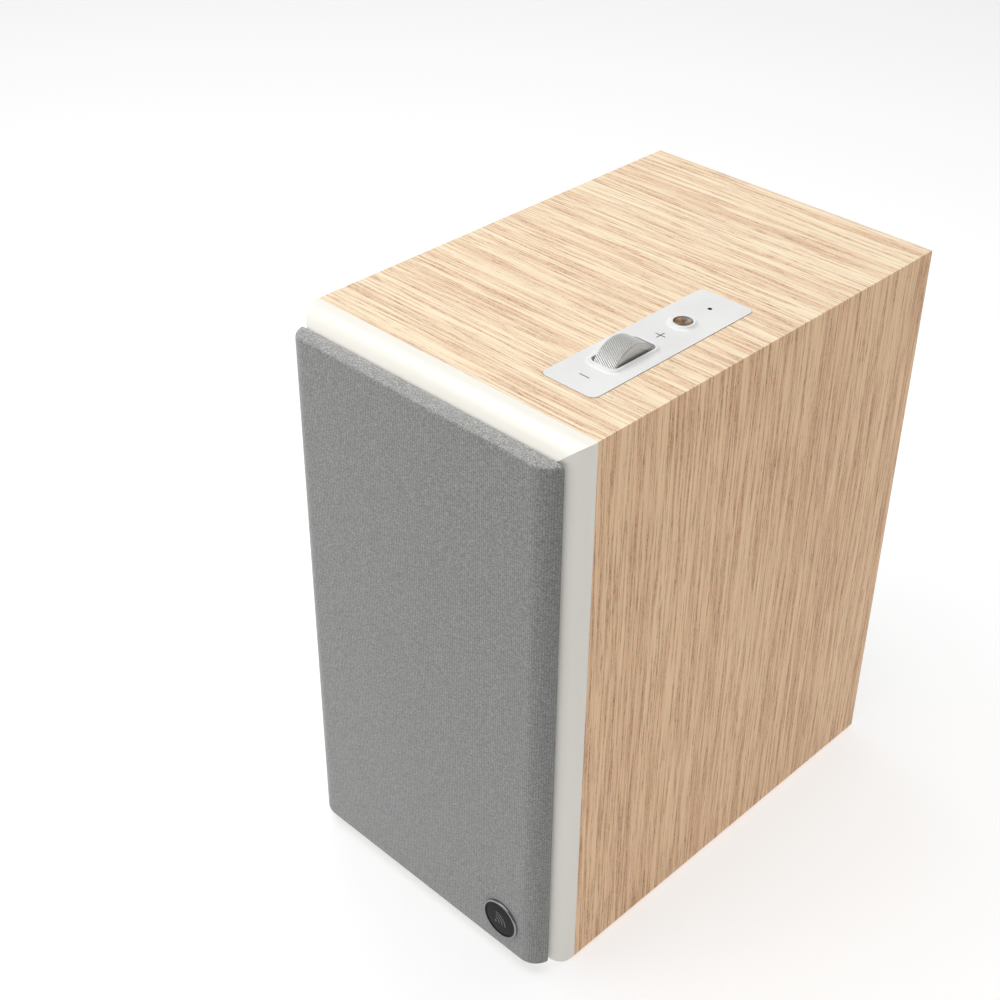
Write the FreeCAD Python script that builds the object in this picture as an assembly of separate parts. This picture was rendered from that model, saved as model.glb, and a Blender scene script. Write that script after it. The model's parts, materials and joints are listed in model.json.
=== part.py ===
"""Active bookshelf speaker: a veneered box with a painted front baffle, a cloth grille held by magnets,
a woofer and a dome tweeter, a control strip in the top and an amplifier plate in the back.

Millimetres. X is to the right, Y is to the back, Z is up. The front faces -Y.
The origin is the middle of the object's footprint, on the surface that the feet stand on.
"""
import FreeCAD
import Part
import math
import os
from FreeCAD import Vector

# ---------------------------------------------------------------- driving dimensions
# cabinet
cabinet_width = 170.0
cabinet_height = 305.0
cabinet_depth = 240.0
panel_thickness = 15.0
rear_thickness = 15.0
rear_recess = 3.0
foot_height = 2.5
foot_radius = 8.0
foot_inset = 22.0
foot_edge_round = 0.6
brace_thickness = 12.0
brace_rim = 18.0
brace_height = 169.0
brace_front_gap = 0.5
brace_back_gap = 55.0
pad_thickness = 10.0
pad_gap = 3.0
pad_front_gap = 45.0

# front baffle
baffle_proud = 15.0
baffle_side_round = 13.5
baffle_edge_round = 11.0
tongue_depth = 8.0
glue_gap = 0.1
rebate_gap = 0.3

# grille
grille_thickness = 8.5
grille_side_gap = 3.5
grille_top_gap = 6.5
grille_bottom_gap = 3.5
grille_side_round = 11.0
grille_edge_round = 2.6
cloth_thickness = 0.8
grille_window_round = 8.0
rail_width = 20.0
crossbar_width = 10.0
gusset_size = 42.0
gusset_thickness = 3.0
grille_travel = 80.0
magnet_radius = 5.0
magnet_thickness = 3.0
magnet_inset = 18.7
middle_magnet_rise = 6.0

# badge
badge_radius = 11.0
badge_lip = 1.3
badge_proud = 1.3
badge_floor = 0.5
badge_disc_sunk = 0.3
badge_edge_round = 0.6
badge_pin_radius = 1.2
badge_from_side = 28.0
badge_from_bottom = 24.0

# woofer, depths are measured back from the baffle's face
woofer_height = 100.0
woofer_flange_radius = 69.0
woofer_bolt_inset = 3.7
woofer_flange_rim = 10.5
gasket_thickness = 1.5
flange_thickness = 4.0
mouth_gap = 1.5
basket_side_gap = 1.0
basket_seat_radius = 43.5
basket_seat_depth = 44.0
basket_wall = 2.5
ledge_depth = 34.0
ledge_radius = 38.5
window_count = 6
window_width = 30.0
roll_width = 7.0
surround_lip = 3.0
rubber_thickness = 0.7
cone_wall = 0.8
cone_neck_depth = 25.5
coil_radius = 12.8
former_wall = 0.25
winding_wall = 0.55
winding_length = 11.0
magnetic_gap = 0.5
top_plate_thickness = 5.0
top_plate_radius = 38.0
ferrite_radius = 43.0
ferrite_bore = 21.0
ferrite_thickness = 14.0
yoke_thickness = 6.0
vent_radius = 3.5
cap_radius = 17.0
cap_rise = 7.9
cap_wall = 0.6
spider_waves = 5
spider_swing = 1.1
spider_thickness = 0.5
cone_travel = 4.0

# tweeter
tweeter_height = 226.0
tweeter_flange_radius = 50.0
tweeter_bolt_inset = 4.0
tweeter_rim = 8.0
tweeter_seat_width = 3.0
throat_radius = 14.8
throat_depth = 14.5
tweeter_flange = 4.0
tweeter_ring_radius = 31.0
tweeter_ring_thickness = 3.0
silk_thickness = 0.6
dome_rise = 4.8
tweeter_coil_radius = 12.1
tweeter_coil_wall = 0.7
tweeter_gap = 0.5
tweeter_plate_thickness = 3.0
tweeter_magnet_thickness = 8.0
tweeter_yoke_thickness = 4.0

# fasteners
screw_radius = 1.8
screw_head_radius = 3.0
screw_head_thickness = 1.3
screw_length = 16.0
thread_gap = 0.05
hole_gap = 0.25
pilot_beyond = 1.5
hex_radius = 1.4
hex_depth = 0.9
tweeter_screw_sunk = 0.3

# reflex port
port_height = 249.5
port_radius = 20.0
port_wall = 2.5
port_length = 110.0
port_flare = 12.0
port_end_flare = 6.0
port_flange_rim = 4.0
port_collar_wall = 8.0

# control strip in the top
strip_width = 30.5
strip_length = 108.2
strip_from_side = 38.1
strip_from_front = 76.5
strip_thickness = 1.2
strip_proud = 0.3
strip_corner = 3.5
strip_edge_gap = 0.2
wheel_radius = 15.0
wheel_width = 12.4
wheel_sunk = 7.3
wheel_from_front = 58.6
wheel_side_gap = 1.0
wheel_end_gap = 1.4
lip_width = 1.2
lip_height = 1.2
lip_skirt = 1.6
slot_corner = 3.0
knurl_count = 72
knurl_depth = 0.35
knurl_end = 0.6
knurl_root = 0.6
axle_radius = 2.0
running_gap = 0.05
fit_gap = 0.02
button_from_front = 98.6
button_radius = 4.4
button_gap = 0.2
button_travel = 1.0
button_dish = 0.7
button_collar_length = 5.0
button_flange_radius = 5.6
button_flange_thickness = 1.0
button_stem_radius = 2.0
button_tip_radius = 1.4
spring_wire = 0.4
spring_turns = 6.0
light_from_front = 117.6
light_radius = 1.0
tub_wall = 2.0
wheel_floor_gap = 2.1
tub_end_gap = 4.0
tub_side_gap = 0.3
board_thickness = 1.6
bracket_width = 12.0
bracket_gap = 0.5
board_gap = 0.1
bearing_rise = 5.0
switch_size = 6.0
switch_height = 5.0

# amplifier plate in the back
plate_width = 116.0
plate_length = 178.0
plate_bottom = 25.5
plate_thickness = 3.0
plate_lip = 8.0
plate_corner = 4.0
plate_screw_inset = 4.2
standoff_radius = 3.0
board_standoff = 25.0
socket_gap = 0.15

# sockets and switches, placed from the plate's middle
phono_x = -38.0
phono_spacing = 17.0
phono_row = 62.0
ground_x = 2.0
slide_switch_x = 26.0
sub_out_x = 44.0
optical_x = -36.0
hdmi_x = -4.0
usb_x = 30.0
digital_row = 32.0
post_row = -8.0
post_spacing = 19.0
mains_row = -56.0
inlet_x = -24.0
rocker_x = 26.0
rca_radius = 4.15
rca_wall = 0.7
rca_length = 9.0
rca_pin_hole = 1.65
rca_insert_sunk = 0.8
rca_collar_rim = 1.6
rca_collar_thickness = 1.5
socket_tail = 8.0
post_stud_radius = 3.4
post_bore_radius = 2.05
post_neck_wall = 0.6
post_bore_depth = 13.0
post_stud_length = 15.5
post_base_radius = 7.5
post_base_thickness = 4.0
post_knob_radius = 6.6
post_knob_length = 13.0
knob_flutes = 12
flute_radius = 1.0
nut_radius = 5.2
nut_length = 6.5
ground_stud_radius = 2.0
ground_stud_length = 11.0
ground_collar_thickness = 1.0
ground_collar_rim = 2.0
nut_clearance = 0.3
nut_flutes = 18
nut_flute_radius = 0.5
slider_travel = 4.0
slide_slot_width = 9.0
slide_slot_height = 4.4
slide_body_width = 15.0
slide_body_height = 8.0
slide_body_depth = 7.0
inlet_width = 26.0
inlet_height = 16.0
inlet_depth = 16.0
inlet_flange = 1.2
inlet_mouth_depth = 12.0
inlet_lobe_radius = 4.7
inlet_lobe_offset = 4.5
inlet_pin_radius = 1.2
inlet_pin_offset = 4.3
frame_width = 15.0
frame_height = 22.0
frame_flange = 1.5
frame_wall = 1.5
frame_depth = 14.0
rocker_angle = 16.0
rocker_pin_radius = 1.5
rocker_pin_sunk = 3.0
hdmi_width = 15.0
hdmi_height = 6.6
usb_width = 9.4
usb_height = 3.6
optical_size = 12.0

# electronics on the amplifier's board
ring_core_radius = 18.0
ring_core_thickness = 9.5
ring_core_height = 21.5
ring_core_x = -14.0
ring_core_row = -52.0
capacitor_x = 28.0
capacitor_rows = (-62.0, -38.0)
capacitor_radius = 10.0
capacitor_height = 30.0
sink_row = 30.0
sink_width = 60.0
sink_height = 40.0
sink_base = 4.0
sink_reach = 22.0
fin_count = 9
fin_thickness = 2.0

# inside wiring
wire_radius = 1.6
lead_hole_inset = 12.0
lead_hole_gap = 0.4

# ---------------------------------------------------------------- levels worked out from them
rear_reach = plate_thickness - rear_recess + post_base_thickness + post_knob_length
front_reach = baffle_proud + grille_thickness + badge_proud
wood_front = front_reach - (front_reach + cabinet_depth + rear_reach) / 2
wood_back = wood_front + cabinet_depth
baffle_face = wood_front - baffle_proud
grille_face = baffle_face - grille_thickness
wood_bottom = foot_height
wood_top = foot_height + cabinet_height
half_width = cabinet_width / 2
inner_half = half_width - panel_thickness
inner_bottom = wood_bottom + panel_thickness
inner_top = wood_top - panel_thickness
rear_face = wood_back - rear_recess
rear_inside = rear_face - rear_thickness
baffle_inside = wood_front + tongue_depth

grille_half = half_width - grille_side_gap
grille_bottom = wood_bottom + grille_bottom_gap
grille_top = wood_top - grille_top_gap
magnet_x = half_width - magnet_inset
woofer_z = wood_bottom + woofer_height
tweeter_z = wood_bottom + tweeter_height
magnet_rows = (
    wood_bottom + magnet_inset,
    (woofer_z + tweeter_z) / 2 + middle_magnet_rise,
    wood_top - magnet_inset - grille_top_gap,
)
badge_x = half_width - badge_from_side
badge_z = wood_bottom + badge_from_bottom

dish_radius = tweeter_flange_radius - tweeter_rim
tweeter_bolt_circle = tweeter_flange_radius - tweeter_bolt_inset
surround_outer = woofer_flange_radius - woofer_flange_rim
surround_inner = surround_outer - roll_width
basket_mouth_radius = surround_outer + mouth_gap
woofer_bolt_circle = woofer_flange_radius - woofer_bolt_inset
crossbar_z = (woofer_z + surround_outer + tweeter_z - dish_radius) / 2
flange_front = gasket_thickness
flange_back = flange_front + flange_thickness
seat_back = basket_seat_depth + basket_wall + 0.5
plate_back = seat_back + top_plate_thickness
ferrite_back = plate_back + ferrite_thickness
coil_outer = coil_radius + former_wall + winding_wall
gap_middle = seat_back + top_plate_thickness / 2
ring_back = throat_depth + tweeter_ring_thickness
tweeter_plate_front = ring_back + silk_thickness
dome_radius = tweeter_coil_radius + tweeter_coil_wall
tweeter_plate_back = tweeter_plate_front + tweeter_plate_thickness
tweeter_magnet_back = tweeter_plate_back + tweeter_magnet_thickness

strip_x = half_width - strip_from_side
strip_top = wood_top + strip_proud
strip_bottom = strip_top - strip_thickness
strip_y = wood_front + strip_from_front
wheel_y = wood_front + wheel_from_front
wheel_z = wood_top - wheel_sunk
button_y = wood_front + button_from_front
light_y = wood_front + light_from_front
board_top = wheel_z - wheel_radius - wheel_floor_gap
tub_bottom = board_top - board_thickness
tub_half_width = strip_width / 2 - tub_wall - 1.0
tub_half_length = strip_length / 2 - tub_end_gap
tub_inner_half = tub_half_width - tub_wall
slot_half_width = wheel_width / 2 + wheel_side_gap
slot_half_length = math.sqrt(wheel_radius**2 - wheel_sunk**2) + wheel_end_gap
flange_top = strip_bottom - button_collar_length - 0.1
switch_top = board_top + switch_height

plate_z = wood_bottom + plate_bottom + plate_length / 2
plate_outside = rear_face + plate_thickness
rocker_pivot_y = plate_outside - rocker_pin_sunk
rocker_well_height = frame_height - 2 - 2 * frame_wall + 1.6
board_back = rear_face - board_standoff
board_inside = board_back - board_thickness
port_z = wood_bottom + port_height
port_collar_radius = port_radius + port_collar_wall
port_flange_radius = port_radius + port_flare + port_flange_rim


# ---------------------------------------------------------------- small helpers
def box(x0, x1, y0, y1, z0, z1):
    """A block between two corners."""
    return Part.makeBox(x1 - x0, y1 - y0, z1 - z0, Vector(x0, y0, z0))


def block(x, y, z, width, depth, height):
    """A block centred on x and z, from y back by depth."""
    return box(x - width / 2, x + width / 2, y, y + depth, z - height / 2, z + height / 2)


def rod_y(x, z, y0, y1, radius):
    """A cylinder along Y from y0 to y1."""
    return Part.makeCylinder(radius, y1 - y0, Vector(x, y0, z), Vector(0, 1, 0))


def rod_z(x, y, z0, z1, radius):
    """A cylinder along Z from z0 to z1."""
    return Part.makeCylinder(radius, z1 - z0, Vector(x, y, z0), Vector(0, 0, 1))


def rod_x(x0, x1, y, z, radius):
    """A cylinder along X from x0 to x1."""
    return Part.makeCylinder(radius, x1 - x0, Vector(x0, y, z), Vector(1, 0, 0))


def turned(profile, z, front=None):
    """A turned solid about the Y line through x = 0 at height z. The profile's points are
    (radius, depth), with the depth measured back from the front plane. A step marked "arc" holds
    the curve's middle point and its end point."""
    front = baffle_face if front is None else front

    def place(point):
        return Vector(point[0], front + point[1], z)

    edges = []
    at = profile[0]
    for step in profile[1:] + [profile[0]]:
        if step[0] == "arc":
            edges.append(Part.Arc(place(at), place(step[1]), place(step[2])).toShape())
            at = step[2]
        else:
            if at != step:
                edges.append(Part.LineSegment(place(at), place(step)).toShape())
            at = step
    face = Part.Face(Part.Wire(edges))
    return face.revolve(Vector(0, front, z), Vector(0, 1, 0), 360)


def ring_y(z, y0, y1, outer, inner, x=0.0):
    """A tube along Y."""
    return rod_y(x, z, y0, y1, outer).cut(rod_y(x, z, y0 - 1, y1 + 1, inner))


def around(count, radius, z, start=0.0):
    """Evenly spaced places on a circle in the XZ plane."""
    turns = [start + 360.0 * k / count for k in range(count)]
    return [(radius * math.cos(math.radians(a)), z + radius * math.sin(math.radians(a)), a) for a in turns]


def fused(shapes):
    """One solid from several that overlap."""
    whole = shapes[0].fuse(shapes[1:])
    return whole.removeSplitter()


def rounded_plate(width, length, z0, z1, corner, x, y):
    """A flat plate in the XY plane with rounded corners."""
    plate = box(x - width / 2, x + width / 2, y - length / 2, y + length / 2, z0, z1)
    corners = [e for e in plate.Edges if abs(e.tangentAt(e.FirstParameter).z) > 0.99]
    return plate.makeFillet(min(corner, width / 2.05, length / 2.05), corners)


def screw_y(x, z, y0, head_radius=screw_head_radius, radius=screw_radius, length=screw_length, into=1):
    """A socket screw whose head's face is at y0. into is 1 to point it at +Y and -1 at -Y."""
    head_end = y0 + into * screw_head_thickness
    tip = y0 + into * length
    head = rod_y(x, z, min(y0, head_end), max(y0, head_end), head_radius)
    shank = rod_y(x, z, min(head_end, tip), max(head_end, tip), radius)
    corners = around(6, hex_radius, z)
    points = [Vector(x + cx, y0, cz) for cx, cz, a in corners + corners[:1]]
    key = Part.Face(Part.makePolygon(points)).extrude(Vector(0, into * hex_depth, 0))
    return fused([head, shank]).cut(key)


# ---------------------------------------------------------------- cabinet
def mitred_panel(corners):
    """A panel whose cross-section is a mitred strip, as long as the cabinet is deep."""
    points = [Vector(x, wood_front, z) for x, z in corners + corners[:1]]
    return Part.Face(Part.makePolygon(points)).extrude(Vector(0, cabinet_depth, 0))


def cabinet_top():
    panel = mitred_panel(
        [(-half_width, wood_top), (half_width, wood_top), (inner_half, inner_top), (-inner_half, inner_top)]
    )
    pocket = rounded_plate(
        strip_width + 2 * strip_edge_gap,
        strip_length + 2 * strip_edge_gap,
        strip_bottom,
        wood_top + 1,
        strip_corner + strip_edge_gap,
        strip_x,
        strip_y,
    )
    reach = tub_half_width + tub_side_gap
    run = tub_half_length + tub_side_gap
    hole = box(strip_x - reach, strip_x + reach, strip_y - run, strip_y + run, inner_top - 1, wood_top)
    return panel.cut([pocket, hole])


def cabinet_bottom():
    return mitred_panel(
        [
            (-half_width, wood_bottom),
            (-inner_half, inner_bottom),
            (inner_half, inner_bottom),
            (half_width, wood_bottom),
        ]
    )


def cabinet_side(sign):
    return mitred_panel(
        [
            (sign * half_width, wood_bottom),
            (sign * half_width, wood_top),
            (sign * inner_half, inner_top),
            (sign * inner_half, inner_bottom),
        ]
    )


def plate_screw_places():
    """Where the amplifier plate's eight screws go, in x and z."""
    side = plate_width / 2 - plate_screw_inset
    rise = plate_length / 2 - plate_screw_inset
    return [(sx * side, plate_z + share * rise) for sx in (-1, 1) for share in (-1, -1 / 3, 1 / 3, 1)]


def rear_panel():
    panel = box(-inner_half, inner_half, rear_inside, rear_face, inner_bottom, inner_top)
    width = plate_width - 2 * plate_lip
    length = plate_length - 2 * plate_lip
    opening = block(0, rear_inside - 1, plate_z, width, rear_thickness + 2, length)
    port_hole = rod_y(0, port_z, rear_inside - 1, rear_face + 1, port_collar_radius + glue_gap)
    pilots = [
        rod_y(x, z, rear_face - screw_length, rear_face + 1, screw_radius + thread_gap)
        for x, z in plate_screw_places()
    ]
    return panel.cut([opening, port_hole] + pilots)


def cabinet_brace():
    """A window brace that ties the four walls together between the two drivers."""
    front = baffle_inside + brace_front_gap
    back = rear_inside - brace_back_gap
    low = wood_bottom + brace_height - brace_thickness / 2
    high = low + brace_thickness
    reach = inner_half - brace_rim
    shelf = box(-inner_half, inner_half, front, back, low, high)
    window = box(-reach, reach, front + brace_rim, back - brace_rim, low - 1, high + 1)
    return shelf.cut(window)


def damping_pads():
    """Wadding on the two side walls, below the brace."""
    low = inner_bottom + pad_gap
    high = wood_bottom + brace_height - brace_thickness / 2 - pad_gap
    front = baffle_inside + pad_front_gap
    back = rear_inside - pad_gap
    left = box(-inner_half, -inner_half + pad_thickness, front, back, low, high)
    right = box(inner_half - pad_thickness, inner_half, front, back, low, high)
    return [left, right]


def foot_places():
    x = half_width - foot_inset
    return [(sx * x, y) for sx in (-1, 1) for y in (wood_front + foot_inset, wood_back - foot_inset)]


def rubber_feet():
    feet = []
    for x, y in foot_places():
        foot = rod_z(x, y, 0, foot_height, foot_radius)
        rims = [e for e in foot.Edges if abs(e.CenterOfMass.z) < 1e-6 and e.Length > 1]
        feet.append(foot.makeFillet(foot_edge_round, rims))
    return feet


# ---------------------------------------------------------------- front baffle
def rounded_slab():
    """The baffle's outer block. Its upright front edges are rounded widely and its level ones less,
    and the two roundings meet in a crease at each corner."""
    slab = box(-half_width, half_width, baffle_face, wood_front, wood_bottom, wood_top)
    front_edges = [e for e in slab.Edges if abs(e.CenterOfMass.y - baffle_face) < 1e-6]
    uprights = [e for e in front_edges if abs(e.CenterOfMass.x) > half_width / 2]
    levels = [e for e in front_edges if abs(e.CenterOfMass.x) < half_width / 2]
    return slab.makeFillet(baffle_side_round, uprights).common(slab.makeFillet(baffle_edge_round, levels))


def front_baffle():
    reach = inner_half - glue_gap
    tongue = box(-reach, reach, wood_front, baffle_inside, inner_bottom + glue_gap, inner_top - glue_gap)
    whole = fused([rounded_slab(), tongue])
    front, end = baffle_face - 1, baffle_inside + 1
    cuts = [
        rod_y(0, woofer_z, front, baffle_face + flange_back, woofer_flange_radius + rebate_gap),
        rod_y(0, woofer_z, baffle_face, end, basket_mouth_radius + basket_side_gap),
        rod_y(0, tweeter_z, front, baffle_face + tweeter_flange, tweeter_flange_radius + rebate_gap),
        rod_y(0, tweeter_z, baffle_face, end, dish_radius - tweeter_seat_width),
    ]
    pilot = screw_radius + thread_gap
    tip = baffle_face + screw_length + pilot_beyond
    places = around(6, woofer_bolt_circle, woofer_z, 30) + around(4, tweeter_bolt_circle, tweeter_z, 45)
    cuts += [rod_y(x, z, baffle_face, tip, pilot) for x, z, a in places]
    cuts += [
        rod_y(s * magnet_x, z, baffle_face - 1, baffle_face + magnet_thickness, magnet_radius + glue_gap)
        for s in (-1, 1)
        for z in magnet_rows
    ]
    return whole.cut(cuts)


def baffle_magnets():
    return [
        rod_y(s * magnet_x, z, baffle_face, baffle_face + magnet_thickness, magnet_radius)
        for s in (-1, 1)
        for z in magnet_rows
    ]


# ---------------------------------------------------------------- grille
def grille_form(inset):
    """The grille's outer form, or that form taken in by inset. Its sides are round, its top and
    bottom edges are softened, and its back lies on the baffle."""
    depth = grille_thickness + grille_side_round
    half = grille_half - inset
    front = grille_face + inset
    low = grille_bottom + inset
    high = grille_top - inset
    slab = box(-half, half, front, grille_face + depth, low, high)

    def is_upright(edge):
        return abs(edge.CenterOfMass.y - front) < 1e-6 and abs(edge.CenterOfMass.x) > 1

    def is_rim(edge):
        at_end = min(abs(edge.CenterOfMass.z - low), abs(edge.CenterOfMass.z - high)) < 1e-6
        return at_end and edge.BoundBox.YMax < grille_face + grille_side_round + 0.01

    slab = slab.makeFillet(grille_side_round - inset, [e for e in slab.Edges if is_upright(e)])
    slab = slab.makeFillet(grille_edge_round - inset / 2, [e for e in slab.Edges if is_rim(e)])
    back = box(-half - 5, half + 5, baffle_face, baffle_face + depth, grille_bottom - 5, grille_top + 5)
    return slab.cut(back)


def grille_cloth():
    hole = rod_y(badge_x, badge_z, grille_face - 1, baffle_face, badge_pin_radius + hole_gap)
    return grille_form(0).cut([grille_form(cloth_thickness), hole])


def grille_windows():
    """The two openings in the frame, as blocks that run from the front to the back of it."""
    half = grille_half - rail_width
    front, back = grille_face - 1, baffle_face + 1
    low, high = grille_bottom + rail_width, grille_top - rail_width
    bar = crossbar_width / 2
    lower = box(-half, half, front, back, low, crossbar_z - bar)
    upper = box(-half, half, front, back, crossbar_z + bar, high)
    return lower, upper


def grille_frame():
    frame = grille_form(cloth_thickness)
    for window in grille_windows():
        uprights = [e for e in window.Edges if abs(e.tangentAt(e.FirstParameter).y) > 0.99]
        frame = frame.cut(window.makeFillet(grille_window_round, uprights))
    front = grille_face + cloth_thickness
    corner_x, corner_z = grille_half - rail_width + 1, grille_bottom + rail_width - 1
    leg = gusset_size - rail_width
    web = [
        Vector(corner_x, front, corner_z),
        Vector(corner_x - leg, front, corner_z),
        Vector(corner_x, front, corner_z + leg),
        Vector(corner_x, front, corner_z),
    ]
    gusset = Part.Face(Part.makePolygon(web)).extrude(Vector(0, gusset_thickness, 0))
    frame = fused([frame, gusset])
    pockets = [
        rod_y(s * magnet_x, z, baffle_face - magnet_thickness, baffle_face + 1, magnet_radius + glue_gap)
        for s in (-1, 1)
        for z in magnet_rows
    ]
    pin_hole = rod_y(badge_x, badge_z, grille_face - 1, baffle_face + 1, badge_pin_radius + thread_gap)
    return frame.cut(pockets + [pin_hole])


def grille_magnets():
    return [
        rod_y(s * magnet_x, z, baffle_face - magnet_thickness, baffle_face, magnet_radius)
        for s in (-1, 1)
        for z in magnet_rows
    ]


def badge_rim():
    """A shallow metal tray with a softened rim and a pin through the cloth."""
    tray = rod_y(badge_x, badge_z, grille_face - badge_proud, grille_face, badge_radius)
    outer = [e for e in tray.Edges if abs(e.CenterOfMass.y - (grille_face - badge_proud)) < 1e-6]
    tray = tray.makeFillet(badge_edge_round, outer)
    well = rod_y(
        badge_x, badge_z, grille_face - badge_proud - 1, grille_face - badge_floor, badge_radius - badge_lip
    )
    pin_end = grille_face + cloth_thickness + gusset_thickness
    pin = rod_y(badge_x, badge_z, grille_face - 0.1, pin_end, badge_pin_radius)
    return fused([tray.cut(well), pin])


def badge_disc():
    return rod_y(
        badge_x,
        badge_z,
        grille_face - badge_proud + badge_disc_sunk,
        grille_face - badge_floor,
        badge_radius - badge_lip - glue_gap,
    )


# ---------------------------------------------------------------- woofer
def woofer_gasket():
    inner = surround_outer + surround_lip + rebate_gap
    ring = ring_y(woofer_z, baffle_face, baffle_face + gasket_thickness, woofer_flange_radius, inner)
    holes = [
        rod_y(x, z, baffle_face - 1, baffle_face + gasket_thickness + 1, screw_head_radius + hole_gap)
        for x, z, a in around(6, woofer_bolt_circle, woofer_z, 30)
    ]
    return ring.cut(holes)


def wall_radius(depth):
    """The outer radius of the basket's cone-shaped wall at a depth."""
    share = (depth - flange_back) / (basket_seat_depth - flange_back)
    return basket_mouth_radius + (basket_seat_radius - basket_mouth_radius) * share


def woofer_basket():
    inner_mouth = surround_outer - 0.5
    shell = turned(
        [
            (woofer_flange_radius, flange_front),
            (woofer_flange_radius, flange_back),
            (basket_mouth_radius, flange_back),
            (basket_seat_radius, basket_seat_depth),
            (basket_seat_radius, seat_back),
            (coil_outer + 2.5, seat_back),
            (coil_outer + 2.5, basket_seat_depth),
            (basket_seat_radius - basket_wall, basket_seat_depth),
            (inner_mouth, flange_back),
            (inner_mouth, flange_front),
        ],
        woofer_z,
    )
    windows = []
    for k in range(window_count):
        window = box(
            coil_outer + 8,
            woofer_flange_radius + 5,
            baffle_face + flange_back + 5,
            baffle_face + ledge_depth - 1.5,
            -window_width / 2,
            window_width / 2,
        )
        window.rotate(Vector(0, 0, 0), Vector(0, 1, 0), 360.0 * k / window_count)
        window.translate(Vector(0, 0, woofer_z))
        windows.append(window)
    shell = shell.cut(windows)
    ledge = turned(
        [
            (ledge_radius, ledge_depth),
            (wall_radius(ledge_depth) - basket_wall / 2, ledge_depth),
            (wall_radius(ledge_depth + basket_wall) - basket_wall / 2, ledge_depth + basket_wall),
            (ledge_radius, ledge_depth + basket_wall),
        ],
        woofer_z,
    )
    rim = woofer_z + basket_seat_radius
    tab = box(-8, 8, baffle_face + basket_seat_depth, baffle_face + seat_back, rim - 4, rim + 7)
    holes = [
        rod_y(x, z, baffle_face, baffle_face + flange_back + 1, screw_radius + hole_gap)
        for x, z, a in around(6, woofer_bolt_circle, woofer_z, 30)
    ]
    return fused([shell, ledge, tab]).cut(holes)


def woofer_terminals():
    """The tag strip on the basket and its two solder lugs."""
    low = woofer_z + basket_seat_radius + 0.5
    back = baffle_face + seat_back
    strip = box(-7, 7, back, back + 1.6, low, low + 6)
    lugs = [box(x - 2, x + 2, back + 1.5, back + 10, low + 2.5, low + 3.3) for x in (-4, 4)]
    return fused([strip] + lugs)


def woofer_magnet():
    front, back = baffle_face + plate_back, baffle_face + ferrite_back
    return ring_y(woofer_z, front, back, ferrite_radius, ferrite_bore)


def woofer_pole_pieces():
    """The front plate, and the back plate with its pole, vented through the middle."""
    front, back = baffle_face + seat_back, baffle_face + plate_back
    top_plate = ring_y(woofer_z, front, back, top_plate_radius, coil_outer + magnetic_gap)
    pole_radius = coil_radius - magnetic_gap
    yoke = turned(
        [
            (vent_radius, seat_back),
            (pole_radius, seat_back),
            (pole_radius, ferrite_back),
            (top_plate_radius + 1, ferrite_back),
            (top_plate_radius + 1, ferrite_back + yoke_thickness),
            (vent_radius, ferrite_back + yoke_thickness),
        ],
        woofer_z,
    )
    return [top_plate, yoke]


def woofer_surround():
    """A half roll of rubber with a flat lip on each side."""
    roll = (surround_outer - surround_inner) / 2
    middle = surround_inner + roll
    back = flange_front
    front = back - rubber_thickness
    return turned(
        [
            (surround_inner - surround_lip, back),
            (surround_inner, back),
            ("arc", (middle, back - roll + 0.3), (surround_outer, back)),
            (surround_outer + surround_lip, back),
            (surround_outer + surround_lip, front),
            (surround_outer + rubber_thickness * 0.6, front),
            ("arc", (middle, front - roll + 0.3), (surround_inner - rubber_thickness * 0.6, front)),
            (surround_inner - surround_lip, front),
        ],
        woofer_z,
    )


def cone_front(radius):
    """The depth of the cone's front surface at a radius."""
    outer = surround_inner - surround_lip + 0.2
    neck = coil_outer - winding_wall + glue_gap
    return flange_front + (outer - radius) / (outer - neck) * (cone_neck_depth - flange_front)


def woofer_cone():
    outer = surround_inner - surround_lip + 0.2
    neck = coil_outer - winding_wall + glue_gap
    rim = surround_inner - glue_gap
    return turned(
        [
            (rim, flange_front),
            (outer, flange_front),
            (neck, cone_neck_depth),
            (neck, cone_neck_depth + cone_wall * 1.6),
            (outer - 0.4, flange_front + cone_wall),
            (rim, flange_front + cone_wall),
        ],
        woofer_z,
    )


def woofer_dust_cap():
    seat = cone_front(cap_radius) - 0.15
    sphere = (cap_radius**2 + cap_rise**2) / (2 * cap_rise)
    centre = Vector(0, baffle_face + seat - cap_rise + sphere, woofer_z)
    shell = Part.makeSphere(sphere, centre).cut(Part.makeSphere(sphere - cap_wall, centre))
    keep = rod_y(0, woofer_z, baffle_face + seat - cap_rise - 1, baffle_face + seat, cap_radius + 1)
    return shell.common(keep)


def woofer_voice_coil():
    """The former, and the winding on it."""
    outer = coil_radius + former_wall
    low, high = gap_middle - winding_length / 2, gap_middle + winding_length / 2
    start, end = baffle_face + cone_neck_depth - 0.5, baffle_face + high + 1.5
    former = ring_y(woofer_z, start, end, outer, coil_radius)
    winding = ring_y(woofer_z, baffle_face + low, baffle_face + high, outer + winding_wall, outer)
    return [former, winding]


def woofer_spider():
    """A corrugated disc that centres the coil, glued to the former and to the basket's ledge."""
    inner = coil_outer - winding_wall + glue_gap
    outer = ledge_radius + 3.5
    flat = 3.0
    start, stop = inner + 1.0, outer - flat - 0.5
    step = (stop - start) / spider_waves
    back = ledge_depth
    front = back - spider_thickness

    def waves(level, forward):
        bumps = []
        order = range(spider_waves) if forward else reversed(range(spider_waves))
        for k in order:
            sign = 1 if k % 2 else -1
            a, b = start + k * step, start + (k + 1) * step
            if not forward:
                a, b = b, a
            bumps.append(("arc", ((a + b) / 2, level + sign * spider_swing), (b, level)))
        return bumps

    profile = [(inner, back), (start, back)] + waves(back, True)
    profile += [(outer, back), (outer, front), (stop, front)]
    profile += waves(front, False) + [(inner, front)]
    return turned(profile, woofer_z)


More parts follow.
